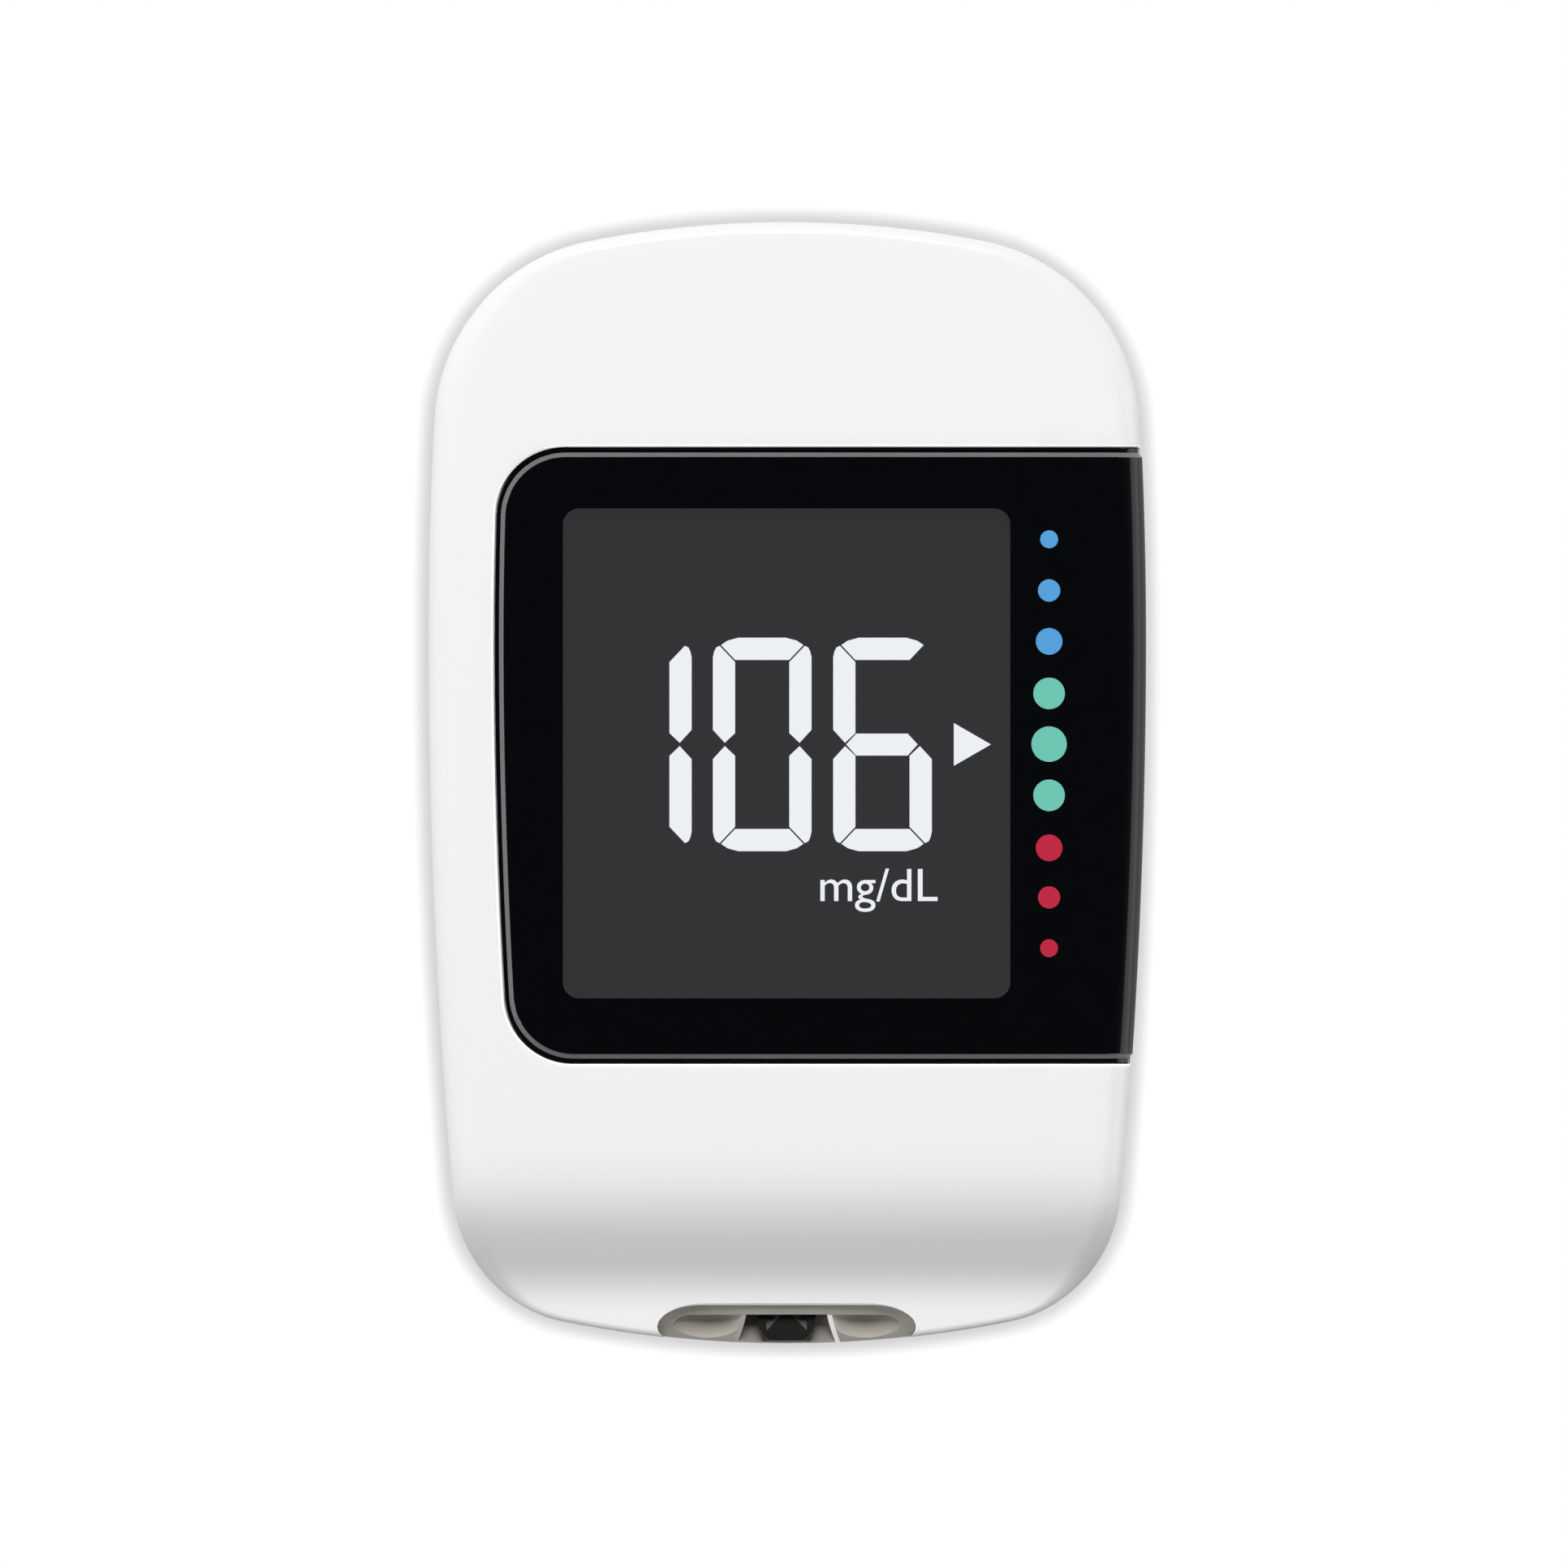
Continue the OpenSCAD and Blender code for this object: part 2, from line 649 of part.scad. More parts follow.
// Black pointed tongue in the channel that the strip slides in over
module strip_guide() {
    tongue_tip = -38.1;
    color("#18181a") difference() {
        translate([0, 0, parting_z + port_wall + 0.02]) linear_extrude(1.7)
            polygon([[-2.3, port_back + 0.15], [-2.0, -36.4], [-1.25, tongue_tip],
                     [1.25, tongue_tip], [2.0, -36.4], [2.3, port_back + 0.15]]);
        // Chamfers that lead the strip on to the tongue
        both_sides() translate([1.25, tongue_tip, 8.02]) rotate([0, 0, 26]) rotate([0, 45, 0])
            cube([1, 8, 1], center = true);
        translate([0, tongue_tip, 8.02]) rotate([45, 0, 0]) cube([6, 0.9, 0.9], center = true);
    }
}

module strip_connector() {
    x = 4.6;
    y0 = -31.9;
    y1 = -23.4;
    color("#26262a") difference() {
        block(-x, y0, board_top, x, y1, 9.85);
        block(-strip_w/2, y0 - 1, slot_z - slot_h/2, strip_w/2, y1 - 0.6, slot_z + slot_h/2);
        // The ejector's arm runs in a slot in the floor
        block(-arm_w/2 - 0.3, y0 - 1, board_top - 1, arm_w/2 + 0.3, y1 - 0.3, slot_z);
        for (i = contact_places)
            block(i - 0.35, -29.5, slot_z, i + 0.35, y1 + 1, 9.55);
    }
}

// Sprung fingers that touch the strip's tracks, with tails soldered to the board
module strip_contacts() {
    color(gold_metal) for (x = contact_places)
        translate([x - 0.2, 0, 0]) rotate([90, 0, 90]) linear_extrude(0.4)
            polygon([[-21.9, board_top], [-21.9, board_top + 0.2], [-23.1, board_top + 0.2],
                     [-23.1, 9.5], [-24.6, 9.5], [-27.6, 9.15], [-28.2, 9.4], [-28.3, 9.25],
                     [-27.6, 8.97], [-24.6, 9.3], [-23.3, 9.3], [-23.3, board_top]]);
}

// ---------------------------------------------------------------- display stack

module lcd_front_polariser() {
    color("#3a3b3d") block(-16.2, -14.9, 13.4, 16.2, 20.2, 13.55);
}

module lcd_front_glass() {
    color("#3f4042") block(-lcd_x, lcd_y0 + 2, 12.85, lcd_x, lcd_y1, 13.4);
}

module lcd_rear_glass() {
    color("#46484a") block(-lcd_x, lcd_y0, 12.3, lcd_x, lcd_y1, 12.85);
}

module lcd_rear_polariser() {
    color("#4b4c4e") block(-16.2, -14.9, 12.15, 16.2, 20.2, 12.3);
}

module lcd_frame() {
    x = lcd_x + frame_wall;
    color("#e6e6e2") difference() {
        plate(-x, lcd_y0 - frame_wall, x, lcd_y1 + frame_wall, frame_z, frame_top, 1);
        block(-lcd_x - 0.1, lcd_y0 - 0.1, shelf_z, lcd_x + 0.1, lcd_y1 + 0.1, frame_top + 1);
        block(-lcd_x + 0.9, lcd_y0 + 2.3, frame_z - 1, lcd_x - 0.9, lcd_y1 - 0.9, shelf_z + 1);
        block(-15.1, lcd_y0, frame_z - 1, 15.1, lcd_y0 + 1.8, frame_top);
    }
}

module backlight_guide() {
    color("#dfe8ea") union() {
        block(-16.6, -14.4, 10.95, 16.6, lcd_y1, 12.05);
        both_sides() block(6, led_y, board_top + 0.9, 10, led_y + 1, 11);
    }
}

module backlight_reflector() {
    color("#f6f6f4") block(-16.6, -14.4, shelf_z + 0.05, 16.6, led_y - 0.2, shelf_z + 0.25);
}

module backlight_leds() {
    color("#f2e9a0") both_sides() block(6.6, led_y, board_top, 9.4, led_y + 1.1, board_top + 0.7);
}

module zebra_strip() {
    color("#55575a") block(-15, lcd_y0 + 0.1, board_top, 15, lcd_y0 + 1.7, 12.3);
}

// ---------------------------------------------------------------- board

module main_board() {
    color(board_green) difference() {
        union() {
            plate(-19.5, -32, 19.5, 31, board_z, board_top, 6);
            plate(-6.5, 28, 6.5, usb_front - 1.2, board_z, board_top, 1);
            plate(15, 2.5, 21, 10.5, board_z, board_top, 1);
        }
        both_sides() {
            post(screw_x, screw_y, 2.6, board_z - 1, board_top + 1);
            post(board_screw_x, board_screw_y, 1, board_z - 1, board_top + 1);
        }
        block(-arm_w/2 - 0.3, -34, board_z - 1, arm_w/2 + 0.3, arm_far + 0.7, board_top + 1);
    }
}

module microcontroller() {
    size = 8;
    pins = 10;
    color("#202124") translate([-6, -4, board_top]) {
        translate([-size/2, -size/2, 0.1]) cube([size, size, 1.3]);
        for (side = [0:3]) rotate([0, 0, 90*side]) for (i = [0:pins - 1])
            translate([size/2, (i - (pins - 1)/2)*0.7 - 0.14, 0]) cube([0.8, 0.28, 0.5]);
    }
}

module radio_module() {
    color(bright_metal) union() {
        block(8, -12, board_top, 15, -4.5, board_top + 0.5);
        plate(8.4, -11.6, 14.6, -6.6, board_top + 0.5, board_top + 2, 0.5);
    }
}

module timing_crystals() {
    color(bright_metal) {
        plate(-14.9, -8, -11.7, -5.5, board_top, board_top + 0.9, 0.4);
        plate(-14.9, -4.4, -11.7, -2.8, board_top, board_top + 0.8, 0.3);
    }
}

module chip_parts() {
    color("#8a7a62") for (row = [0:2]) for (i = [0:5])
        translate([-12 + 4*i, 6 + 3.4*row, board_top]) cube([1.6, 0.8, 0.7]);
}

module switch_body() {
    color("#2d2e31") difference() {
        block(18.45, button_y - 3, board_top, 20.9, button_y + 3, button_z + 1.6);
        block(plunger_back - button_travel - 0.05, button_y - 1.35, button_z - 0.75,
              22, button_y + 1.35, button_z + 0.75);
    }
}

module switch_plunger() {
    color("#d8d8d2")
        block(plunger_back, button_y - 1.3, button_z - 0.7, switch_tip, button_y + 1.3, button_z + 0.7);
}

// Receptacle for the charging and data plug: a folded shell with a tongue inside
module usb_connector() {
    t = 0.3;
    function shell_section(g) = let (w = usb_w/2 - g, h = usb_h/2 - g)
        [[-w, h], [w, h], [w, -0.2], [w - 1.1, -h], [1.1 - w, -h], [-w, -0.2]];
    color(bright_metal) translate([0, usb_front, usb_z]) rotate([90, 0, 0]) {
        difference() {
            linear_extrude(usb_front - usb_back) polygon(shell_section(0));
            translate([0, 0, -1]) linear_extrude(usb_front - usb_back) polygon(shell_section(t));
        }
        translate([-1.9, 0.15, 0.8]) cube([3.8, 0.6, usb_front - usb_back - 1]);
    }
}

// ---------------------------------------------------------------- battery

module coin_cell() {
    translate([0, 0, cell_z]) {
        cylinder(r = cell_r, h = cell_h - 0.35);
        cylinder(r = cell_r - 1.1, h = cell_h);
    }
}

module coin_cell_left() {
    color(bright_metal) translate([-cell_x, cell_y, 0]) coin_cell();
}

module coin_cell_right() {
    color(bright_metal) translate([cell_x, cell_y, 0]) coin_cell();
}

// Leaf under each cup's roof that presses on the cell's small face
module negative_contacts() {
    top = cup_roof;
    color(gold_metal) both_sides() translate([cell_x, cell_y, 0]) union() {
        block(-1.5, -4.1, top - 0.2, 1.5, 5, top);
        block(-1.5, -4.1, top - 0.1, 1.5, -3.4, board_z);
    }
}

// Clip beside each cell's rim, between the rim and the cup's wall
module positive_contacts() {
    color(gold_metal) both_sides() translate([cell_x, cell_y, 0]) intersection() {
        difference() {
            post(0, 0, pocket_r - 0.02, cell_z + 0.3, cup_roof - 0.4);
            post(0, 0, cell_r + 0.06, 0, 10);
        }
        block(7, -3, 0, 12, 3, 10);
    }
}

// ---------------------------------------------------------------- fasteners

module screw(r_head, h_head, r_shank, length) {
    difference() {
        union() {
            cylinder(r = r_head, h = h_head);
            cylinder(r = r_shank, h = length);
        }
        // Cross recess
        for (a = [0, 90])
            rotate([0, 0, a]) translate([-r_head*0.55, -0.18, -1]) cube([r_head*1.1, 0.36, 1.6]);
    }
}

module case_screws() {
    color("#5c5e62") both_sides() translate([screw_x, screw_y, screw_seat - 1.2])
        screw(1.7, 1.2, 0.8, 7.8);
}

module board_screws() {
    color("#5c5e62") both_sides() translate([board_screw_x, board_screw_y, board_z - 0.9])
        screw(1.5, 0.9, 0.7, 4.6);
}

// ---------------------------------------------------------------- side button

module side_button() {
    flange_s = skirt_t + 0.08;
    color(gloss_black) union() {
        difference() {
            union() {
                intersection() {
                    side_form(button_rows, -button_proud, 8, 1, x_end = 15);
                    capsule_x(button_l, button_h, button_y, button_z, 18, 28);
                }
                intersection() {
                    side_form(button_rows, flange_s, 6, 1, panel_under - 0.08, x_end = 15);
                    capsule_x(button_l + 2*flange_edge, button_h + 2*flange_edge,
                              button_y, button_z, 18, 28);
                }
            }
            side_form(button_rows, flange_s + flange_t, 5, 1, panel_under - 0.6, x_end = 14);
        }
        block(switch_tip, button_y - 1.2, button_z - 0.6, 23.2, button_y + 1.2, button_z + 0.6);
    }
}

// ---------------------------------------------------------------- strip ejector

// Pad in the rear face with a stem that goes through the slot
module ejector_slider() {
    color("#2b2c2f") difference() {
        union() {
            plate(-pad_w/2, pad_far - pad_l, pad_w/2, pad_far, 0.35, ejector_recess - 0.05, 1.2);
            block(-stem_w/2, stem_far - stem_l, 0.8, stem_w/2, stem_far, carriage_z + carriage_t);
        }
        for (i = [0:4]) translate([0, pad_far - 1.5 - i, 0.3]) rotate([0, 90, 0])
            cylinder(r = 0.3, h = pad_w - 2, center = true);
    }
}

module ejector_carriage() {
    top = carriage_z + carriage_t;
    color("#d9dad8") difference() {
        union() {
            block(-3.5, carriage_near, carriage_z, 3.5, -13.4, top);
            block(-arm_w/2, arm_far - 1.2, carriage_z, arm_w/2, carriage_near + 1, top);
            block(-arm_w/2, arm_far - 1.2, carriage_z, arm_w/2, arm_far, slot_z + slot_h/2 - 0.05);
            block(spring_x - 1.1, carriage_near, carriage_z, spring_x + 1, carriage_near + 1, 4.7);
        }
        block(-stem_w/2, stem_far - stem_l, 0, stem_w/2, stem_far, 10);
    }
}

// Helical spring between the rear shell's rib and the carriage
module ejector_spring() {
    sides = 6;
    per_turn = 12;
    rings = spring_turns*per_turn;
    length = carriage_near - spring_rib;
    pitch = (length - 2*wire_r)/rings;
    color(bright_metal) translate([spring_x, spring_rib + wire_r, spring_z])
        polyhedron(
            [for (i = [0:rings]) for (j = [0:sides - 1])
                let (a = 360*i/per_turn, b = 360*j/sides, r = spring_r + wire_r*cos(b))
                [r*cos(a), pitch*i + wire_r*sin(b), r*sin(a)]],
            concat([[for (j = [sides - 1:-1:0]) j]],
                [for (i = [0:rings - 1]) for (j = [0:sides - 1])
                    let (a = i*sides + j, b = i*sides + (j + 1)%sides)
                    each [[a, b, b + sides], [a, b + sides, a + sides]]],
                [[for (j = [0:sides - 1]) rings*sides + j]]));
}

// ---------------------------------------------------------------- nodes

front_housing();
rear_housing();
display_surround();
display_window();
panel_tape();
port_bezel();
strip_guide();
strip_connector();
strip_contacts();
lcd_front_polariser();
lcd_front_glass();
lcd_rear_glass();
lcd_rear_polariser();
lcd_frame();
backlight_guide();
backlight_reflector();
backlight_leds();
zebra_strip();
main_board();
microcontroller();
radio_module();
timing_crystals();
chip_parts();
switch_body();
switch_plunger();
usb_connector();
positive_contacts();
negative_contacts();
coin_cell_left();
coin_cell_right();
case_screws();
board_screws();
side_button();
ejector_slider();
ejector_carriage();
ejector_spring();
battery_door();
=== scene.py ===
# %% [markdown]
# # A pocket blood glucose meter
# The meter lies on its back with the display up. The frame holds every solid of the model,
# already in place and in metres. This script dresses it: it models the visible pieces finely,
# gives every piece its finish, and sets a plain pale studio round it. Sizes below are in
# millimetres and degrees, and MM turns them into Blender's metres.

# %% Load the frame
from math import asin, cos, degrees, pi, radians, sin, sqrt

import bmesh
import bpy
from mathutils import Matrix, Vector


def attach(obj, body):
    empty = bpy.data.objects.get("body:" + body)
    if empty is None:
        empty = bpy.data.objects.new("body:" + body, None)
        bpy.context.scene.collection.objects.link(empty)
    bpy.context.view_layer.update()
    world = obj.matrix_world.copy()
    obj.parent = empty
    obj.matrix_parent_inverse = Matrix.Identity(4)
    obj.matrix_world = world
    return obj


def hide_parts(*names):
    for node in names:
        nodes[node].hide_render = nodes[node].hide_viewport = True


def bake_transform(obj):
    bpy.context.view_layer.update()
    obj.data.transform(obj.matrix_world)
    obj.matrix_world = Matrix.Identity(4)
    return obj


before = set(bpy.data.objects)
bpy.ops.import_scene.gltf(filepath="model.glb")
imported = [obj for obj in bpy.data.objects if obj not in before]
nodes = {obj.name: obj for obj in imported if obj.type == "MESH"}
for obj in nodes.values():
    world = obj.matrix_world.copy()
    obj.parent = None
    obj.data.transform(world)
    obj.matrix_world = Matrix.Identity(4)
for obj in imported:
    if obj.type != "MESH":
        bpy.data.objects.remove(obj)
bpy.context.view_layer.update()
MM = 0.001

# %% [markdown]
# ## The plan outline
# Seen from above the body is a soft oblong, widest a little past its middle. It could be one
# spline, but a moulded case is drawn with arcs that meet without a corner. So each quarter is
# three arcs: a nearly straight side, a round corner and a nearly straight end. The far and the
# near half have arcs of their own, because the body narrows more towards the strip port.

# %% Sizes of the outline
BODY_W, BODY_L, BODY_T = 49.0, 76.8, 15.294
WIDE_Y = 10.0  # where the body is widest
PARTING_Z = 5.8  # where the front and the rear housing meet
# The side arc's radius, the angles where the side and the corner end, and the half's length
FAR = dict(side_r=285.0, side_a=3.0, end_a=79.1, reach=BODY_L/2 - WIDE_Y)
NEAR = dict(side_r=441.0, side_a=5.0, end_a=78.6, reach=BODY_L/2 + WIDE_Y)
END_STEPS, CORNER_STEPS, NEAR_SIDE_STEPS, FAR_SIDE_STEPS = 4, 14, 12, 4


def sind(a):
    return sin(radians(a))


def cosd(a):
    return cos(radians(a))


def quarter(side_r, side_a, end_a, reach):
    """The side, corner and end arcs of a quarter, each (centre x, centre y, radius)."""
    edge = BODY_W/2 - side_r + side_r*cosd(side_a)
    k1 = 1 - cosd(side_a)/cosd(end_a)
    k0 = edge/cosd(end_a)
    corner_r = ((reach - side_r*sind(side_a) - k0*(1 - sind(end_a)))
                / (sind(end_a) - sind(side_a) + k1*(1 - sind(end_a))))
    end_r = corner_r*k1 + k0
    corner_y = (side_r - corner_r)*sind(side_a)
    return [(BODY_W/2 - side_r, 0, side_r),
            (edge - corner_r*cosd(side_a), corner_y, corner_r),
            (0, corner_y + (corner_r - end_r)*sind(end_a), end_r)]


FAR_ARCS, NEAR_ARCS = quarter(**FAR), quarter(**NEAR)
print("corner radii", round(FAR_ARCS[1][2], 2), round(NEAR_ARCS[1][2], 2), "mm")

# %% Rows along the outline
def arc_rows(arc, a0, a1, steps, way):
    """Rows on one arc. The way is 1 on the far half and -1 on the near half."""
    return [(arc[0], WIDE_Y + way*arc[1], arc[2], way*(a0 + (a1 - a0)*i/steps))
            for i in range(steps)]


def outline_rows(fine):
    """Rows (centre x, centre y, radius, angle) from the near tip up the +X side to the far tip."""
    side, end = NEAR["side_a"], NEAR["end_a"]
    rows = (arc_rows(NEAR_ARCS[2], 90, end, END_STEPS*fine, -1)
            + arc_rows(NEAR_ARCS[1], end, side, CORNER_STEPS*fine, -1)
            + arc_rows(NEAR_ARCS[0], side, 0, NEAR_SIDE_STEPS*fine, -1))
    side, end = FAR["side_a"], FAR["end_a"]
    rows += (arc_rows(FAR_ARCS[0], 0, side, FAR_SIDE_STEPS*fine, 1)
             + arc_rows(FAR_ARCS[1], side, end, CORNER_STEPS*fine, 1)
             + arc_rows(FAR_ARCS[2], end, 90, END_STEPS*fine, 1))
    return rows + [(0, WIDE_Y + FAR_ARCS[2][1], FAR_ARCS[2][2], 90)]


def row_point(row, inset):
    return row[0] + (row[2] - inset)*cosd(row[3]), row[1] + (row[2] - inset)*sind(row[3])


def side_radius(y):
    return (FAR if y > WIDE_Y else NEAR)["side_r"]


def side_x(y, inset):
    """Half width of the outline moved inwards, between the corners."""
    r = side_radius(y)
    return BODY_W/2 - r + sqrt((r - inset)**2 - (y - WIDE_Y)**2)


def side_turn(y, inset):
    """Which way the +X side faces there: 0 is straight along X."""
    return degrees(asin((y - WIDE_Y)/(side_radius(y) - inset)))


print("outline rows", len(outline_rows(1)), "half width at the parting", side_x(WIDE_Y, 0), "mm")

# %% [markdown]
# ## The skin of the front
# The face is very slightly crowned, and near the strip port it falls in a smooth chin. Round
# the rim it turns into the wall with a small radius, which is finer along the two ends. The
# bezel of the strip port has a skin of its own, which slopes down there as a wide bevel. It
# could all be sculpted once, but functions that give each height let every piece that follows
# a skin use it, so they sit in each other with an even gap.

# %% Heights of the face
CROWN_Y, CROWN_RY, CROWN_RX = 8.0, 1000.0, 600.0
PROUD = 0.1  # how far the black panel stands above the white shell
CHIN_START, CHIN_STEEP, CHIN_END, CHIN_SLOPE = -25.0, -32.4, -36.7, 0.72


def chin_drop(y):
    """How far the chin has fallen: its slope rises and falls along two half waves."""
    h0, h1 = CHIN_START - CHIN_STEEP, CHIN_STEEP - CHIN_END
    v = min(max(CHIN_START - y, 0), h0)
    w = min(max(CHIN_STEEP - y, 0), h1)
    return CHIN_SLOPE/2*(v - h0/pi*sin(pi*v/h0) + w + h1/pi*sin(pi*w/h1))


def face_z(x, y):
    crown = (y - CROWN_Y)**2/(2*CROWN_RY) + x**2/(2*CROWN_RX)
    return BODY_T - PROUD - crown - chin_drop(y)


print("lip of the chin", round(face_z(0, CHIN_END), 2), "mm up")

# %% The round edge
EDGE_R, LEAST_R = 1.8, 0.3
CORNER_R, CORNER_A = 0.3, 30.0  # a tighter corner ends the edge at the wall
FAR_LIP, NEAR_LIP, LIP_FROM, LIP_TO = 0.9, 0.5, 22.8, 16.5
PORT_EDGE_W, PORT_EDGE_H, PORT_BEND, LOW_WALL = 4.1, 5.6, 0.7, 0.3


def lip_part(x):
    """0 along the sides, and 1 along the lip at each end."""
    u = min(max((LIP_FROM - abs(x))/(LIP_FROM - LIP_TO), 0), 1)
    return u*u*(3 - 2*u)


def edge_shape(x, y, inset, port):
    """The edge's width, its height and how far its curve is bent out, inset inside the skin."""
    part = lip_part(x)
    wide = high = FAR_LIP if y > 0 else NEAR_LIP
    bend = 0
    if port and y < 0:
        wide, high, bend = PORT_EDGE_W, PORT_EDGE_H, PORT_BEND
    return (max(EDGE_R + (wide - EDGE_R)*part - inset, LEAST_R),
            max(EDGE_R + (high - EDGE_R)*part - inset, LEAST_R), 1 + bend*part)


def edge_step(wide, high, bend, a):
    """How far in and down a place on the edge is: a is 0 on the wall and 90 on the face."""
    ca, sa = cosd(CORNER_A), sind(CORNER_A)
    if a >= CORNER_A:
        across_face = wide*(ca**bend - max(cosd(a), 0)**bend)
        return across_face + CORNER_R*(1 - ca), high*(1 - sind(a)**bend)
    return CORNER_R*(1 - cosd(a)), high*(1 - sa**bend) + CORNER_R*(sa - sind(a))


def edge_point(row, inset, a, flat=None, port=False):
    """Place on the round edge at a row of the outline."""
    x, y = row_point(row, inset)
    shape = edge_shape(x, y, inset, port)
    step, drop = edge_step(*shape, a)
    x, y = row_point(row, inset + step)
    top = face_z(x, y) - inset if flat is None else flat
    limit = (top - PARTING_Z - LOW_WALL)/edge_step(*shape, 0)[1]
    return x, y, top - drop*min(limit, 1)


print("edge at the side, in and down", edge_step(EDGE_R, EDGE_R, 1, 0), "mm")

# %% [markdown]
# ## Working in edit mode
# Blender's tools act on what is selected. So everything is deselected before a shape is added,
# and faces and edges are then picked in code, by their place or their normal. Each vertex can
# carry a number, its place, in an attribute. Extruding copies that number to the new vertices,
# so they can be moved to where they belong.

# %% Helpers for edit mode
def deselect():
    bpy.ops.object.select_all(action="DESELECT")


def use(obj):
    """Makes one object the active and only selected one."""
    deselect()
    obj.select_set(True)
    bpy.context.view_layer.objects.active = obj
    return obj


def settle(name):
    """Names the active object and puts its place, turn and size into its mesh."""
    bpy.ops.object.transform_apply(location=True, rotation=True, scale=True)
    obj = bpy.context.object
    obj.name = obj.data.name = name
    return obj


def mark_places(obj, place_of):
    layer = obj.data.attributes.new("place", "INT", "POINT")
    for v in obj.data.vertices:
        layer.data[v.index].value = place_of(v)


def move_selected(point):
    """Moves each selected vertex to point(its place), given in millimetres."""
    mesh = bpy.context.edit_object.data
    bm = bmesh.from_edit_mesh(mesh)
    place = bm.verts.layers.int["place"]
    for v in bm.verts:
        if v.select:
            v.co = Vector(point(v[place]))*MM
    bmesh.update_edit_mesh(mesh)


def select_rim():
    """In edit mode, selects the edges that have a face on one side only."""
    bpy.ops.mesh.select_mode(type="EDGE")
    bpy.ops.mesh.select_all(action="DESELECT")
    mesh = bpy.context.edit_object.data
    bm = bmesh.from_edit_mesh(mesh)
    for edge in bm.edges:
        if edge.is_boundary:
            edge.select_set(True)
    bmesh.update_edit_mesh(mesh)


def finish_edit(outward=True):
    bpy.ops.mesh.select_all(action="SELECT")
    if outward:
        bpy.ops.mesh.normals_make_consistent(inside=False)
    bpy.ops.object.mode_set(mode="OBJECT")
    return bpy.context.object


# %% [markdown]
# ## A solid from the skin
# A case like this could be a box with bevels, but its edge changes along the way. So a grid is
# laid over the face, its rim is extruded ring by ring round the edge and down the wall, and the
# last ring is closed with one face. Inside its rim the grid is spread evenly between its four
# sides, so that its lines flow with the outline.

# %% Places on the grid
NEAR_COLS, SIDE_ROWS = 22, 30


def patch_point(near, far, left, right, c, r):
    """Plan place at column c and row r, between the points of the grid's four sides."""
    u, v = c/(len(near) - 1), r/(len(left) - 1)
    return [(1 - v)*near[c][k] + v*far[c][k] + (1 - u)*left[r][k] + u*right[r][k]
            - (1 - u)*((1 - v)*near[0][k] + v*far[0][k])
            - u*((1 - v)*near[-1][k] + v*far[-1][k]) for k in (0, 1)]


def rim_place(c, r, cols, lines, loop):
    """Place along the outline's loop of a grid vertex, or -1 if it isn't on the rim."""
    if r == 0:
        return (c - cols//2) % loop
    if r == lines:
        return loop//2 + cols//2 - c
    if c == cols:
        return cols//2 + r
    return loop - cols//2 - r if c == 0 else -1


print("places round the rim", 2*(NEAR_COLS + SIDE_ROWS))

# %% Grid over the face, and rings down the wall
def skin(name, inset, fine, rings, flat=None, base=PARTING_Z, foot=None, port=False):
    """A solid under the front skin, inset inside it, closed with one face at base.

    fine makes the grid finer, and rings is how many steps go round the edge. flat gives the
    face one height, foot gives the wall's last rings as (inset, height), and port slopes the
    near end as the port's bezel does."""
    rows = outline_rows(fine)
    half = len(rows) - 1
    loop, cols, lines = 2*half, NEAR_COLS*fine, SIDE_ROWS*fine

    def on_loop(i, point):
        x, y, z = point(rows[i] if i <= half else rows[loop - i])
        return (x, y, z) if i <= half else (-x, y, z)

    def ring(i, a):
        return on_loop(i, lambda row: edge_point(row, inset, a, flat, port))

    near = [ring((c - cols//2) % loop, 90) for c in range(cols + 1)]
    far = [ring(half + cols//2 - c, 90) for c in range(cols + 1)]
    right = [ring(cols//2 + r, 90) for r in range(lines + 1)]
    left = [ring(loop - cols//2 - r, 90) for r in range(lines + 1)]

    def inside(c, r):
        x, y = patch_point(near, far, left, right, c, r)
        return x, y, face_z(x, y) - inset if flat is None else flat

    deselect()
    bpy.ops.mesh.primitive_grid_add(x_subdivisions=cols, y_subdivisions=lines, size=2)
    obj = settle(name)
    cells = [(round((v.co.x + 1)/2*cols), round((v.co.y + 1)/2*lines))
             for v in obj.data.vertices]
    mark_places(obj, lambda v: rim_place(*cells[v.index], cols, lines, loop))
    for v in obj.data.vertices:
        v.co = Vector(inside(*cells[v.index]))*MM
    bpy.ops.object.mode_set(mode="EDIT")
    select_rim()
    for k in range(1, rings + 1):
        bpy.ops.mesh.extrude_region_move()
        move_selected(lambda i: ring(i, 90 - 90*k/rings))
    for depth, height in (foot or [(inset, base)]):
        bpy.ops.mesh.extrude_region_move()
        move_selected(lambda i: on_loop(i, lambda row: (*row_point(row, depth), height)))
    bpy.ops.mesh.edge_face_add()
    return finish_edit()


# %% [markdown]
# ## Cutting and sweeping
# Holes, grooves and rounded lips are cut with tools, as a mould's core pins would leave them.
# They could be drawn into the grid, but a cut stays exact however the face is curved. A tool is
# swept: a circle gets the shape of the first section, and its face is extruded to each next one.

# %% Plans for the tools
PAST, ABOVE = 1, 20  # how far tools reach past what they cut, and a height over everything


def arc(x, y, r, a0, a1, steps):
    return [(x + r*cosd(a0 + (a1 - a0)*i/steps), y + r*sind(a0 + (a1 - a0)*i/steps))
            for i in range(steps + 1)]


def round_rect(x0, y0, x1, y1, r, steps=8):
    return (arc(x1 - r, y1 - r, r, 0, 90, steps) + arc(x0 + r, y1 - r, r, 90, 180, steps)
            + arc(x0 + r, y0 + r, r, 180, 270, steps) + arc(x1 - r, y0 + r, r, 270, 360, steps))


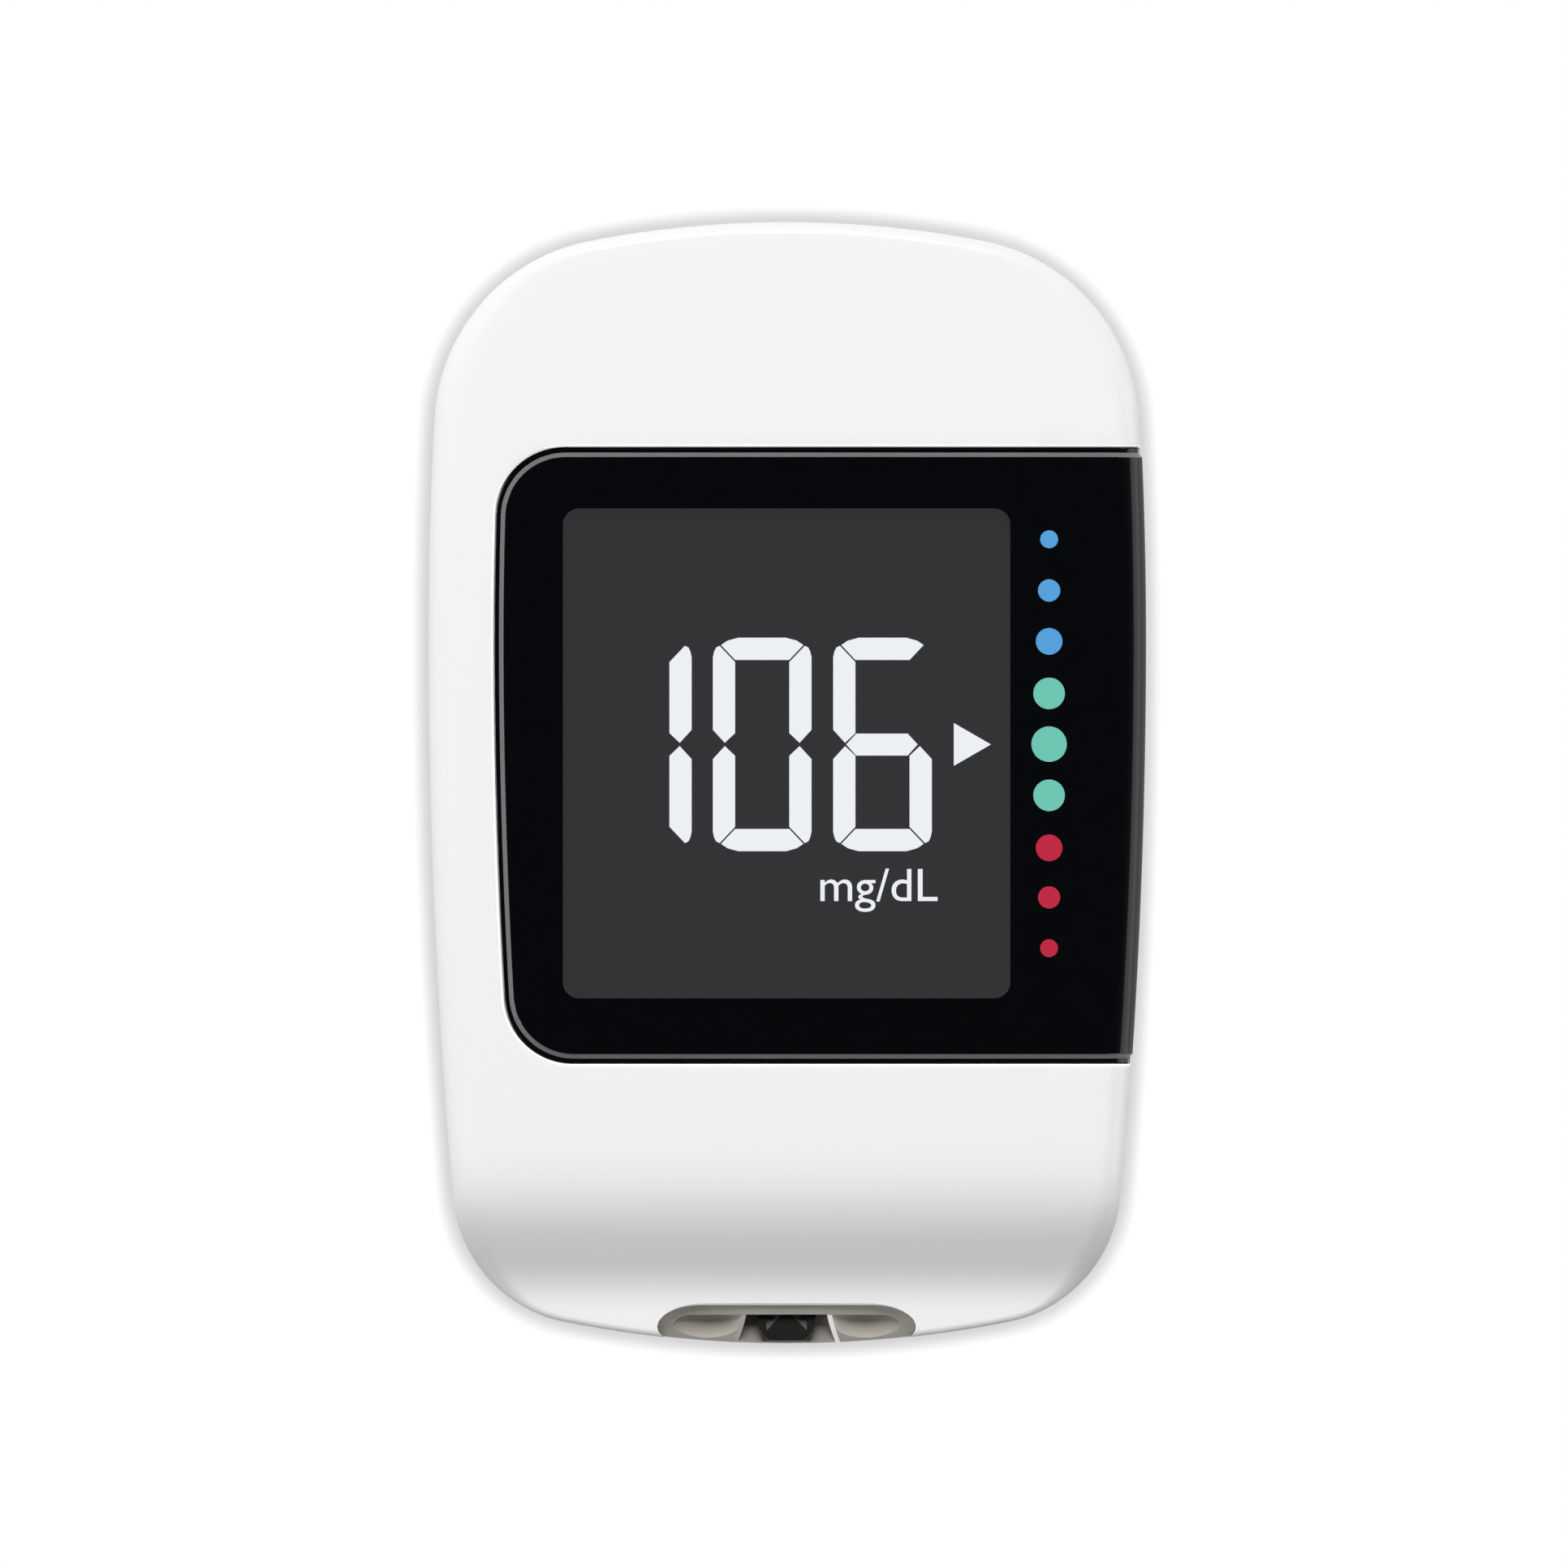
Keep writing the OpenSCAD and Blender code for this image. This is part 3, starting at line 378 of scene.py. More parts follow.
def across(plan, y0, y1):
    """Two sections along Y from a plan in x and z."""
    return [[(x, y, z) for x, z in plan] for y in (y0, y1)]


# %% Sweep and boolean helpers
def sweep(name, sections):
    """A solid through a row of equal closed sections, each a list of points in millimetres."""
    deselect()
    bpy.ops.mesh.primitive_circle_add(vertices=len(sections[0]), radius=1, fill_type="NGON")
    obj = settle(name)
    mark_places(obj, lambda v: v.index)
    bpy.ops.object.mode_set(mode="EDIT")
    bpy.ops.mesh.select_mode(type="FACE")
    bpy.ops.mesh.select_all(action="SELECT")
    move_selected(lambda i: sections[0][i])
    for section in sections[1:]:
        bpy.ops.mesh.extrude_region_move()
        move_selected(lambda i: section[i])
    return finish_edit()


def prism(name, plan, z0, z1):
    """A solid with this plan between two heights."""
    return sweep(name, [[(x, y, z) for x, y in plan] for z in (z0, z1)])


def apply_modifier(obj, kind, **settings):
    """Adds a modifier with these settings and applies it."""
    use(obj)
    mod = obj.modifiers.new(kind.lower(), kind)
    for key, value in settings.items():
        setattr(mod, key, value)
    bpy.ops.object.modifier_apply(modifier=mod.name)


def boolean(obj, tool, operation):
    """Cuts an object with a tool, or joins them, and takes the tool away."""
    apply_modifier(obj, "BOOLEAN", operation=operation, object=tool, solver="EXACT")
    bpy.data.objects.remove(tool)


def cut(obj, *tools):
    for tool in tools:
        boolean(obj, tool, "DIFFERENCE")


def smooth(obj, angle):
    """Shades an object smooth, but keeps the edges sharper than this angle."""
    use(obj)
    bpy.ops.object.shade_smooth_by_angle(angle=radians(angle))


# %% [markdown]
# ## The panel's outline
# The black display panel lies in a pocket and wraps round the +X side. Its -X edge follows the
# body's side at an even white rim. The same path guides the pocket, the small round on the
# white lip and the black panel's groove and chamfer, so it is worked out once: first the plan,
# and then a track of stations, each with its place, its outward direction and its up direction.

# %% Plan of the panel
PANEL_RIM, PANEL_FAR, PANEL_NEAR, PANEL_CORNER = 4.55, 22.9, -19.1, 4.7
PLAN_STEPS = 16


def panel_arcs(gap):
    """The plan's -X side: points and outward directions from the far to the near edge."""
    r, d = PANEL_CORNER, PANEL_RIM - gap
    y1, y0 = PANEL_FAR + gap - r, PANEL_NEAR - gap + r
    x1, x0 = -side_x(y1, d + r), -side_x(y0, d + r)
    a1, a0 = side_turn(y1, d + r), side_turn(y0, d + r)
    far = [90 + (90 - a1)*i/PLAN_STEPS for i in range(PLAN_STEPS + 1)]
    near = [180 - a0 + (90 + a0)*i/PLAN_STEPS for i in range(PLAN_STEPS + 1)]
    side = [y1 + (y0 - y1)*i/PLAN_STEPS for i in range(1, PLAN_STEPS)]
    return ([(x1 + r*cosd(a), y1 + r*sind(a), a) for a in far]
            + [(-side_x(y, d), y, 180 - side_turn(y, d)) for y in side]
            + [(x0 + r*cosd(a), y0 + r*sind(a), a) for a in near])


def panel_plan(gap):
    side = [(x, y) for x, y, _ in panel_arcs(gap)]
    return [(BODY_W, PANEL_FAR + gap)] + side + [(BODY_W, PANEL_NEAR - gap)]


print("panel", round(PANEL_FAR - PANEL_NEAR, 1), "mm long, rim", PANEL_RIM, "mm")

# %% Track round the panel
WRAP_STEPS, WALL_OUT = 10, 0.1  # the last station lies this far outside the wall
FACE_XS = (-12, -8, -4, 0, 4, 8, 12, 16, 19, 21)  # stations on the two straight edges
UP = Vector((0, 0, 1))


def wrap(y, outward, inset):
    """Stations down the +X wall at one y, from the face."""
    stations = []
    for k in range(WRAP_STEPS + 1):
        a = 90 - 90*k/WRAP_STEPS
        step, drop = edge_step(EDGE_R - inset, EDGE_R - inset, 1, a)
        d = inset + step
        turn = side_turn(y, d)
        x = side_x(y, d)
        up = Vector((cosd(a)*cosd(turn), cosd(a)*sind(turn), sind(a)))
        stations.append((Vector((x, y, face_z(x, y) - inset - drop)), outward, up))
    foot = Vector((side_x(y, inset) + WALL_OUT, y, PARTING_Z - PAST))
    return stations + [(foot, outward, up)]


def panel_track(gap, inset):
    """Stations (place, outward, up) along the panel's whole edge."""
    def on_face(x, y, outward):
        return Vector((x, y, face_z(x, y) - inset)), outward, UP

    far, near = PANEL_FAR + gap, PANEL_NEAR - gap
    far_out, near_out = Vector((0, 1, 0)), Vector((0, -1, 0))
    return (wrap(far, far_out, inset)[::-1]
            + [on_face(x, far, far_out) for x in FACE_XS[::-1]]
            + [on_face(x, y, Vector((cosd(a), sind(a), 0))) for x, y, a in panel_arcs(gap)]
            + [on_face(x, near, near_out) for x in FACE_XS]
            + wrap(near, near_out, inset))


def along_track(name, track, profile):
    """Sweeps a profile of (outward, up) points along a track."""
    return sweep(name, [[p + out*u + up*v for u, v in profile] for p, out, up in track])


print("track stations", len(panel_track(0, 0)))

# %% [markdown]
# ## The strip port's outline
# The port is a long opening in the lip with round ends. Seen from above it is two elliptic ends
# joined by straight sides, and seen from the near end it is a low capsule with a slightly
# crowned top. Both the white housing and the warm grey bezel that fills it follow these shapes,
# so the shapes come first.

# %% Outline and section of the port
PORT_X, PORT_Y, PORT_END, PORT_FAR, PORT_NEAR = 5.9, -37.22, 2.95, 1.47, 1.35
PORT_Z, PORT_CROWN = 7.35, 0.35
# Half width, rise and fall of the sections: the housing's hole, the bezel's root, its inside
PORT_HOLE, PORT_ROOT, PORT_INSIDE = (8.9, 2.2, 1.5), (8.85, 2.15, 1.45), (7.75, 1.48, 1.0)
NOTCH_LIP, NOTCH_TOP, NOTCH_FLARE = 9.93, 10.13, 0.2
END_TURN, SECTION_STEPS, TOP_STEPS = 6, 24, 8


def port_outline(grow):
    """The port seen from above, grown all round."""
    half = []
    for t in range(-90, 91, END_TURN):
        reach = (PORT_FAR if t > 0 else PORT_NEAR) + grow
        half.append((PORT_X + (PORT_END + grow)*cosd(t), PORT_Y + reach*sind(t)))
    return half + [(-x, y) for x, y in half[::-1]]


def port_section(half, rise, fall):
    """The port's section (x, z): round ends, a slightly crowned top and a flatter bottom."""
    x0 = half - rise
    right = arc(x0, 0, rise, -90, 90, SECTION_STEPS)
    left = arc(-x0, 0, rise, 90, 270, SECTION_STEPS)
    top = [(x0*(1 - i/TOP_STEPS), rise) for i in range(1, 2*TOP_STEPS)]
    return [(x, PORT_Z + (z*fall/rise if z < 0 else z - PORT_CROWN*z/rise*min((x/x0)**2, 1)))
            for x, z in right + top + left]


def port_notch():
    """The port's outline as an upright tool that flares a little at the lip."""
    levels = ((PARTING_Z - PAST, 0), (NOTCH_LIP, 0), (NOTCH_TOP, NOTCH_FLARE))
    return sweep("port_notch", [[(x, y, z) for x, y in port_outline(grow)]
                                for z, grow in levels])


print("port", 2*(PORT_X + PORT_END), "mm wide")

# %% [markdown]
# ## The white front housing
# The real one is an ABS moulding with an even wall. Here it is the skin's solid with its inside
# taken out, a pocket for the panel, an opening for the display, the strip port's notch and the
# data plug's mouth. The lip round the pocket gets its small round from a tool swept along the
# panel's track, because a bevel would also catch the edges that the cuts leave beside it.

# %% Front housing
PANEL_GAP, BED_INSET, BED_Z, WALL = 0.08, 1.1, 13.75, 2.2
DISPLAY_HOLE, DISPLAY_HOLE_Z = (-17.1, -16.9, 17.1, 20.7, 1), 8
PLUG_MOUTH, PLUG_MOUTH_Y = (-5.1, 6.2, 5.1, 10.8, 1.4), (36.9, 40)
PLUG_HOLE, PLUG_HOLE_Y = (-3.9, 7.05, 3.9, 9.95, 0.2), (33.9, 37.4)
PORT_HOLE_Y = (-37, -33.6)
FOOT_STEP = 0.15, 0.12  # height and depth of the fine line at the parting
LIP_R, TOOL_OUT, TOOL_UP = 0.2, 0.3, 0.5
lip_profile = ([(-TOOL_OUT, -LIP_R)]
               + [(LIP_R - LIP_R*cosd(t), LIP_R*sind(t) - LIP_R) for t in (0, 22, 45, 68, 90)]
               + [(LIP_R, TOOL_UP), (-TOOL_OUT, TOOL_UP)])

housing = skin("housing_front", 0, 3, 12,
               foot=[(0, PARTING_Z + FOOT_STEP[0]), (FOOT_STEP[1], PARTING_Z)])
pocket = prism("pocket", panel_plan(PANEL_GAP), PARTING_Z - PAST, ABOVE)
cut(pocket, skin("pocket_bed", BED_INSET, 2, 6, flat=BED_Z, base=PARTING_Z - 2*PAST))
cut(housing, pocket, along_track("lip", panel_track(PANEL_GAP, 0), lip_profile),
    skin("cavity", WALL, 2, 3, base=PARTING_Z - PAST),
    prism("display_hole", round_rect(*DISPLAY_HOLE), DISPLAY_HOLE_Z, ABOVE),
    port_notch(), sweep("port_hole", across(port_section(*PORT_HOLE), *PORT_HOLE_Y)),
    sweep("plug_mouth", across(round_rect(*PLUG_MOUTH), *PLUG_MOUTH_Y)),
    sweep("plug_hole", across(round_rect(*PLUG_HOLE), *PLUG_HOLE_Y)))
smooth(housing, 24)
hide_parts("front_housing")
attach(housing, "casing")
print("housing faces", len(housing.data.polygons))

# %% [markdown]
# ## The black display panel
# One glossy moulding: flat over the display and rolled down the side, with a clear window that
# is moulded into it. Both could be separate grids, but cut from the one skin they meet without
# a step. Round the panel's edge runs a fine groove and then a small chamfer, whose grey colour
# is a painted highlight: a thin grey line.

# %% Tools for the window and the button
BUTTON_Y, BUTTON_Z, BUTTON_L, BUTTON_H, BUTTON_GAP = 6.5, 9.2, 16.0, 3.2, 0.12
WINDOW_W, WINDOW_L, WINDOW_Y, WINDOW_R = 30.6, 33.5, 2.05, 1.1


def window_prism(z0):
    x, y = WINDOW_W/2, WINDOW_L/2
    return prism("window_prism", round_rect(-x, WINDOW_Y - y, x, WINDOW_Y + y, WINDOW_R), z0,
                 ABOVE)


def button_prism(grow, x0, x1):
    """The button's long round shape in y and z, as a tool along X."""
    l, h = BUTTON_L/2 + grow, BUTTON_H/2 + grow
    plan = (arc(BUTTON_Y + l - h, BUTTON_Z, h, -90, 90, 16)
            + arc(BUTTON_Y + h - l, BUTTON_Z, h, 90, 270, 16))
    return sweep("button_prism", [[(x, y, z) for y, z in plan] for x in (x0, x1)])


# %% Display panel and its window
UNDER_Z, UNDER_INSET, PANEL_FOOT, BUTTON_CUT = 13.9, 1.0, 0.1, (19, 27)
GROOVE_W, GROOVE_D, CHAMFER_W, GROOVE_OUT, GROOVE_UP = 0.28, 0.26, 0.3, 0.3, 0.6
groove_profile = [(GROOVE_OUT, -GROOVE_D), (-GROOVE_W, -GROOVE_D), (-GROOVE_W - CHAMFER_W, 0),
                  (-GROOVE_W - 2*CHAMFER_W, GROOVE_D), (-GROOVE_W - CHAMFER_W, GROOVE_UP),
                  (GROOVE_OUT, GROOVE_UP)]
panel = skin("panel_black", -PROUD, 3, 12)
window = skin("window_clear", -PROUD, 2, 3)
boolean(panel, prism("panel_prism", panel_plan(0), PARTING_Z + PANEL_FOOT, ABOVE), "INTERSECT")
cut(panel, skin("panel_under", UNDER_INSET, 2, 6, flat=UNDER_Z, base=PARTING_Z - 2*PAST),
    window_prism(UNDER_Z - PAST), button_prism(BUTTON_GAP, *BUTTON_CUT),
    along_track("groove", panel_track(0, -PROUD), groove_profile))
smooth(panel, 12)
boolean(window, window_prism(UNDER_Z), "INTERSECT")
smooth(window, 24)
for piece, node, finish_slot in ((panel, "display_surround", "gloss_black"),
                                 (window, "display_window", "clear_window")):
    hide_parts(node)
    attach(piece, "casing")
print("panel faces", len(panel.data.polygons))

# %% [markdown]
# ## Pieces that keep the model's shape
# The rear shell, the door and the button already have the right form, but their edges are
# perfectly sharp. They could be modelled again, but a copy is enough: its loose triangles are
# merged, its flat faces joined and its sharp edges broken with a small bevel, as every moulded
# edge has. Weighted normals then keep the flat faces flat in the light.

# %% Refined copies of CAD nodes
MERGE, FLAT_A, SHARP_A = 0.002, 0.5, 40


def node_copy(node, name):
    """A free copy of a CAD node, with a mesh of its own and no finish."""
    obj = nodes[node].copy()
    obj.data = nodes[node].data.copy()
    obj.parent = None
    for key in list(obj.keys()):
        del obj[key]
    bpy.context.collection.objects.link(obj)
    obj.name = obj.data.name = name
    obj.data.materials.clear()
    return obj


def refined(node, name, width, segments=2):
    """A copy of a CAD node with its sharp edges rounded by this width."""
    obj = use(node_copy(node, name))
    bpy.ops.object.mode_set(mode="EDIT")
    bpy.ops.mesh.select_all(action="SELECT")
    bpy.ops.mesh.remove_doubles(threshold=MERGE*MM)
    bpy.ops.mesh.customdata_custom_splitnormals_clear()
    bpy.ops.mesh.dissolve_limited(angle_limit=radians(FLAT_A))
    finish_edit(outward=False)
    apply_modifier(obj, "BEVEL", width=width*MM, segments=segments, limit_method="ANGLE",
                   angle_limit=radians(SHARP_A), use_clamp_overlap=True)
    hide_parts(node)
    smooth(obj, 30)
    apply_modifier(obj, "WEIGHTED_NORMAL", keep_sharp=True)
    print(name, "faces", len(obj.data.polygons))
    return obj


rear = refined("rear_housing", "housing_rear", 0.12)
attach(rear, "casing")
door = refined("battery_door", "door", 0.1)
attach(door, "battery_door")
button = refined("side_button", "button", 0.2, segments=4)
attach(button, "side_button")

# %% [markdown]
# ## The ejector's spring
# A coil spring of steel wire sits between the rear shell and the ejector's carriage, and the
# carriage squeezes it. The coil is right as it is, so it is only copied and shaded smooth. It
# could ride on one of the two, but then it would cut through the other, so it rides on neither:
# its place is only baked into its mesh.

# %% Spring between two bodies
spring = node_copy("ejector_spring", "spring_coil")
smooth(spring, 50)
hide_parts("ejector_spring")
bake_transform(spring)

# %% [markdown]
# ## The strip port
# A warm grey bezel fills the port's notch and slopes down with its own skin. Inside its even
# rim lie two shallow finger scoops, and between them a channel that leads the strip over a
# black pointed tongue. They could be carved by hand, but plain tools keep the rim even: a ball
# makes each scoop, and a plan that flares towards the mouth makes the channel. The two thin
# ribs beside the channel have polished edges with a painted highlight, so they are pieces of
# their own.

# %% Tools for the port
FRONT = -42  # nearer than anything that is cut
PORT_BACK, RIB = -34.6, 0.3
SCOOP_X, SCOOP_AT, SCOOP_R = 5.9, (-39.6, 11.3), 5.1
SCOOP_HALF, SCOOP_LOW, PORT_LOW, PORT_HIGH = 7.45, 4, 4, 14
CHANNEL_BACK, CHANNEL_MOUTH, CHANNEL_STEPS = 2.6, 3.4, 12


def channel_plan(grow, y1):
    """The channel's plan from the front to y1, which flares towards the mouth."""
    half = []
    for i in range(CHANNEL_STEPS + 1):
        y = FRONT + (y1 - FRONT)*i/CHANNEL_STEPS
        u = max(0, (PORT_BACK - y)/(PORT_BACK + BODY_L/2))
        half.append((CHANNEL_BACK + (CHANNEL_MOUTH - CHANNEL_BACK)*u**2 + grow, y))
    return half + [(-x, y) for x, y in half[::-1]]


def port_inside(y1):
    return sweep("port_inside", across(port_section(*PORT_INSIDE), FRONT, y1))


def scoop_space(y1):
    """The port's inside, carried on down past the rim's lower side."""
    low = round_rect(-SCOOP_HALF, SCOOP_LOW, SCOOP_HALF, PORT_Z, 0.1)
    space = sweep("scoop_space", across(low, FRONT, y1))
    boolean(space, port_inside(y1), "UNION")
    return space


def ball(x, y, z, r):
    deselect()
    bpy.ops.mesh.primitive_uv_sphere_add(segments=96, ring_count=48, radius=r*MM,
                                         location=(x*MM, y*MM, z*MM))
    return settle("ball")


# %% Port bezel
BEZEL_GAP, ROOT_Y, SCOOP_BACK = 0.03, (-36.6, -33.7), -35.9
CHANNEL_Y, CHANNEL_TOOL_Y = PORT_BACK + 0.2, PORT_BACK + 2*PAST
SLOT, SLOT_Y = (-2.65, 7.9, 2.65, 9.1, 0.1), (-35, -33)
bezel = skin("port_frame", 0, 2, 10, port=True)
body = prism("port_body", port_outline(-BEZEL_GAP), PARTING_Z - PAST, PORT_HIGH)
boolean(body, sweep("port_root", across(port_section(*PORT_ROOT), *ROOT_Y)), "UNION")
boolean(bezel, body, "INTERSECT")
for way in (-1, 1):
    scoop = scoop_space(SCOOP_BACK)
    boolean(scoop, ball(way*SCOOP_X, *SCOOP_AT, SCOOP_R), "INTERSECT")
    cut(scoop, prism("rib_space", channel_plan(RIB, CHANNEL_TOOL_Y), PORT_LOW, PORT_HIGH))
    cut(bezel, scoop)
channel = port_inside(CHANNEL_Y)
boolean(channel, prism("channel_plan", channel_plan(0, CHANNEL_TOOL_Y), PORT_LOW, PORT_HIGH),
        "INTERSECT")
cut(bezel, channel, sweep("slot", across(round_rect(*SLOT), *SLOT_Y)))
smooth(bezel, 35)
print("bezel faces", len(bezel.data.polygons))

# %% Ribs beside the channel
RIB_BACK, RIB_PROUD, RIB_MORE, RIB_LOW = -36.45, 0.02, 0.01, 0.3
ribs = {}
for side, way in (("left", -1), ("right", 1)):
    outer, inner = channel_plan(RIB + RIB_MORE, RIB_BACK), channel_plan(-RIB_MORE, RIB_BACK)
    half = len(outer)//2
    strip = [(way*abs(x), y) for x, y in outer[:half] + inner[:half][::-1]]
    ribs[side] = skin("rib_" + side, -RIB_PROUD, 2, 10, port=True)
    boolean(ribs[side], prism("rib_strip", strip, PARTING_Z + RIB_LOW, PORT_HIGH), "INTERSECT")
    smooth(ribs[side], 35)
for piece in (bezel, *ribs.values()):
    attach(piece, "casing")
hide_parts("port_bezel")
print("rib faces", [len(rib.data.polygons) for rib in ribs.values()])

# %% [markdown]
# ## The tongue
# The strip slides in over a black tongue with a pointed, rounded tip and a sloping facet on
# each side of its ridge. A cone would be too plain, so its plan is drawn as half widths along
# the way, and the two facets are cut with sloping tools.

# %% Pointed tongue
TONGUE_LOW, TONGUE_TOP, TONGUE_EDGE = 6.32, 8.02, 0.05
TONGUE = [(2.1, PORT_BACK + 0.1), (2.02, -36.5), (1.98, -37.0), (1.9, -37.3), (1.77, -37.6),
          (1.6, -37.85), (1.4, -38.05), (1.15, -38.2)]
FACET = [(0.38, -36.4), (1.36, -37.5), (1.42, -37.0), (1.42, -35.5), (0.38, -35.5)]
FACET_DROP, FACET_SLOPE = 0.06, 0.25
tongue = prism("port_tongue", TONGUE + [(-x, y) for x, y in TONGUE[::-1]], TONGUE_LOW, TONGUE_TOP)
for way in (-1, 1):
    above = [(way*x, y, TONGUE_TOP + 0.1) for x, y in FACET]
    floor = [(way*x, y, TONGUE_TOP - FACET_DROP - FACET_SLOPE*x) for x, y in FACET]
    cut(tongue, sweep("facet", [above, floor]))
apply_modifier(tongue, "BEVEL", width=TONGUE_EDGE*MM, segments=2, angle_limit=radians(20))
smooth(tongue, 30)
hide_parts("strip_guide")
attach(tongue, "casing")
print("tongue faces", len(tongue.data.polygons))

# %% [markdown]
# ## What the display shows
# The display is a dark film with white digits of seven parts. They could be painted on by a
# material, but plates under the window keep their edges sharp at any distance. One side part,
# the top part and the middle part are drawn once, and mirrored for the others. Their plan is in
# fine units, 788 to a digit's height, and its middle is the digit's middle.

# %% Parts of a digit
DIGIT_MID, DIGIT_UNIT = 2.662, 0.018533
INK_Z0, INK_Z1 = 13.552, 13.572
SIDE_PART = [(100, 304), (157, 364), (170, 358), (177, 344), (182, 322), (182, 54), (138, 6),
             (100, 42)]
TOP_PART = [(-152, 367), (-128, 383), (-88, 394), (88, 394), (128, 383), (152, 367), (100, 312),
            (-100, 312)]
MID_PART = [(-134, 0), (-97, 40), (93, 40), (130, 0), (93, -41), (-97, -41)]
ARROW = [(0, 79), (0, -79), (137, 0)]


def flipped(part, way_x, way_y):
    return [(x*way_x, y*way_y) for x, y in part]


DIGIT_PARTS = {"b": SIDE_PART, "c": flipped(SIDE_PART, 1, -1), "f": flipped(SIDE_PART, -1, 1),
               "e": flipped(SIDE_PART, -1, -1), "a": TOP_PART, "d": flipped(TOP_PART, 1, -1),
               "g": MID_PART}
print("digit height", round(2*TOP_PART[2][1]*DIGIT_UNIT, 2), "mm")

# %% Digits and arrow
DIGITS = ((-9.87, "bc"), (-1.67, "abcdef"), (6.56, "acdefg"))
ARROW_X = 11.44


def plate(name, plan, x):
    return prism(name, [(x + DIGIT_UNIT*px, DIGIT_MID + DIGIT_UNIT*py) for px, py in plan],
                 INK_Z0, INK_Z1)


def joined(name, parts):
    """Joins some objects into one of this name."""
    deselect()
    for part in parts:
        part.select_set(True)
    bpy.context.view_layer.objects.active = parts[0]
    bpy.ops.object.join()
    return settle(name)


plates = [plate("part", DIGIT_PARTS[key], x) for x, lit in DIGITS for key in lit]
digits = joined("display_digits", plates + [plate("arrow", ARROW, ARROW_X)])
print("digit plates' faces", len(digits.data.polygons))

# %% [markdown]
# ## The unit of the reading
# The unit stands small under the digits. Letters are hard to draw well, so it is a text object
# made a mesh. Its box is then stretched to the size and place that it has under the window.

# %% Unit
UNIT_LOW, UNIT_HIGH = (2.31, -8.79, INK_Z0), (10.33, -5.83, INK_Z1)
LETTER_MERGE = 0.0005
deselect()
bpy.ops.object.text_add(location=(0, 0, 0))
bpy.context.object.data.body = "mg/dL"
bpy.context.object.data.extrude = 0.5
bpy.ops.object.convert(target="MESH")
unit = use(settle("display_unit"))
lows = [min(v.co[k] for v in unit.data.vertices) for k in range(3)]
highs = [max(v.co[k] for v in unit.data.vertices) for k in range(3)]
for v in unit.data.vertices:
    v.co = [(lo + (hi - lo)*(c - a)/(b - a))*MM for c, a, b, lo, hi
            in zip(v.co, lows, highs, UNIT_LOW, UNIT_HIGH)]
bpy.ops.object.mode_set(mode="EDIT")
bpy.ops.mesh.select_all(action="SELECT")
bpy.ops.mesh.remove_doubles(threshold=LETTER_MERGE*MM)
finish_edit()
for piece in (digits, unit):
    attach(piece, "casing")
print("unit faces", len(unit.data.polygons))

# %% [markdown]
# ## The row of dots
# Nine printed dots beside the window show how a reading lies: low at the bottom, high at the
# top. A material could paint them, but thin discs of ink that lie on the crowned panel have
# clean edges and catch the light as print does.

# %% Printed dots
DOT_X, DOT_STEPS, INK_DEEP, INK_THICK = 17.95, 48, 0.02, 0.006
DOTS = {"high": [(16.69, 0.61), (13.19, 0.76), (9.71, 0.91)],
        "good": [(6.15, 1.08), (2.68, 1.21), (-0.82, 1.08)],
        "low": [(-4.41, 0.91), (-7.8, 0.76), (-11.27, 0.61)]}


def dot(y, r):
    turns = [360*k/DOT_STEPS for k in range(DOT_STEPS)]
    rim = [(DOT_X + r*cosd(a), y + r*sind(a)) for a in turns]
    return sweep("dot", [[(px, py, face_z(px, py) + PROUD + up) for px, py in rim]
                         for up in (-INK_DEEP, INK_THICK)])


dots = {name: joined("dots_" + name, [dot(*d) for d in rows]) for name, rows in DOTS.items()}
for piece in dots.values():
    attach(piece, "casing")
print("dots", sum(len(rows) for rows in DOTS.values()))

# %% [markdown]
# ## Finishes
# A moulded or printed surface is never one flat colour. An image could bring that detail, but
# nodes keep it sharp at any distance. So every finish is the same small set of nodes: a fine
# noise varies the colour and the gloss a little, and the same noise gives the surface its
# grain. Only the numbers change between them.

# %% Helpers for nodes
def add_node(tree, kind, values=None, **settings):
    """Adds a node with these settings, and gives its sockets these values."""
    node = tree.nodes.new("ShaderNode" + kind)
    for key, value in settings.items():
        setattr(node, key, value)
    for socket, value in (values or {}).items():
        node.inputs[socket].default_value = value
    return node


def link(tree, *pairs):
    """Links pairs of an output and an input socket."""
    for output, entry in pairs:
        tree.links.new(output, entry)


def new_material(name, plain=False):
    """A new material and its nodes, with the usual shader or, if plain, without it."""
    mat = bpy.data.materials.new(name)
    mat.use_nodes = True
    if plain:
        mat.node_tree.nodes.remove(mat.node_tree.nodes["Principled BSDF"])
    return mat, mat.node_tree


# %% A moulded finish
MIX_A, MIX_B, MIX_OUT = 6, 7, 2  # the colour sockets of a Mix node
BUMP_DEPTH, LEAST_ROUGH, NOISE_DETAIL = 0.05, 0.02, 3


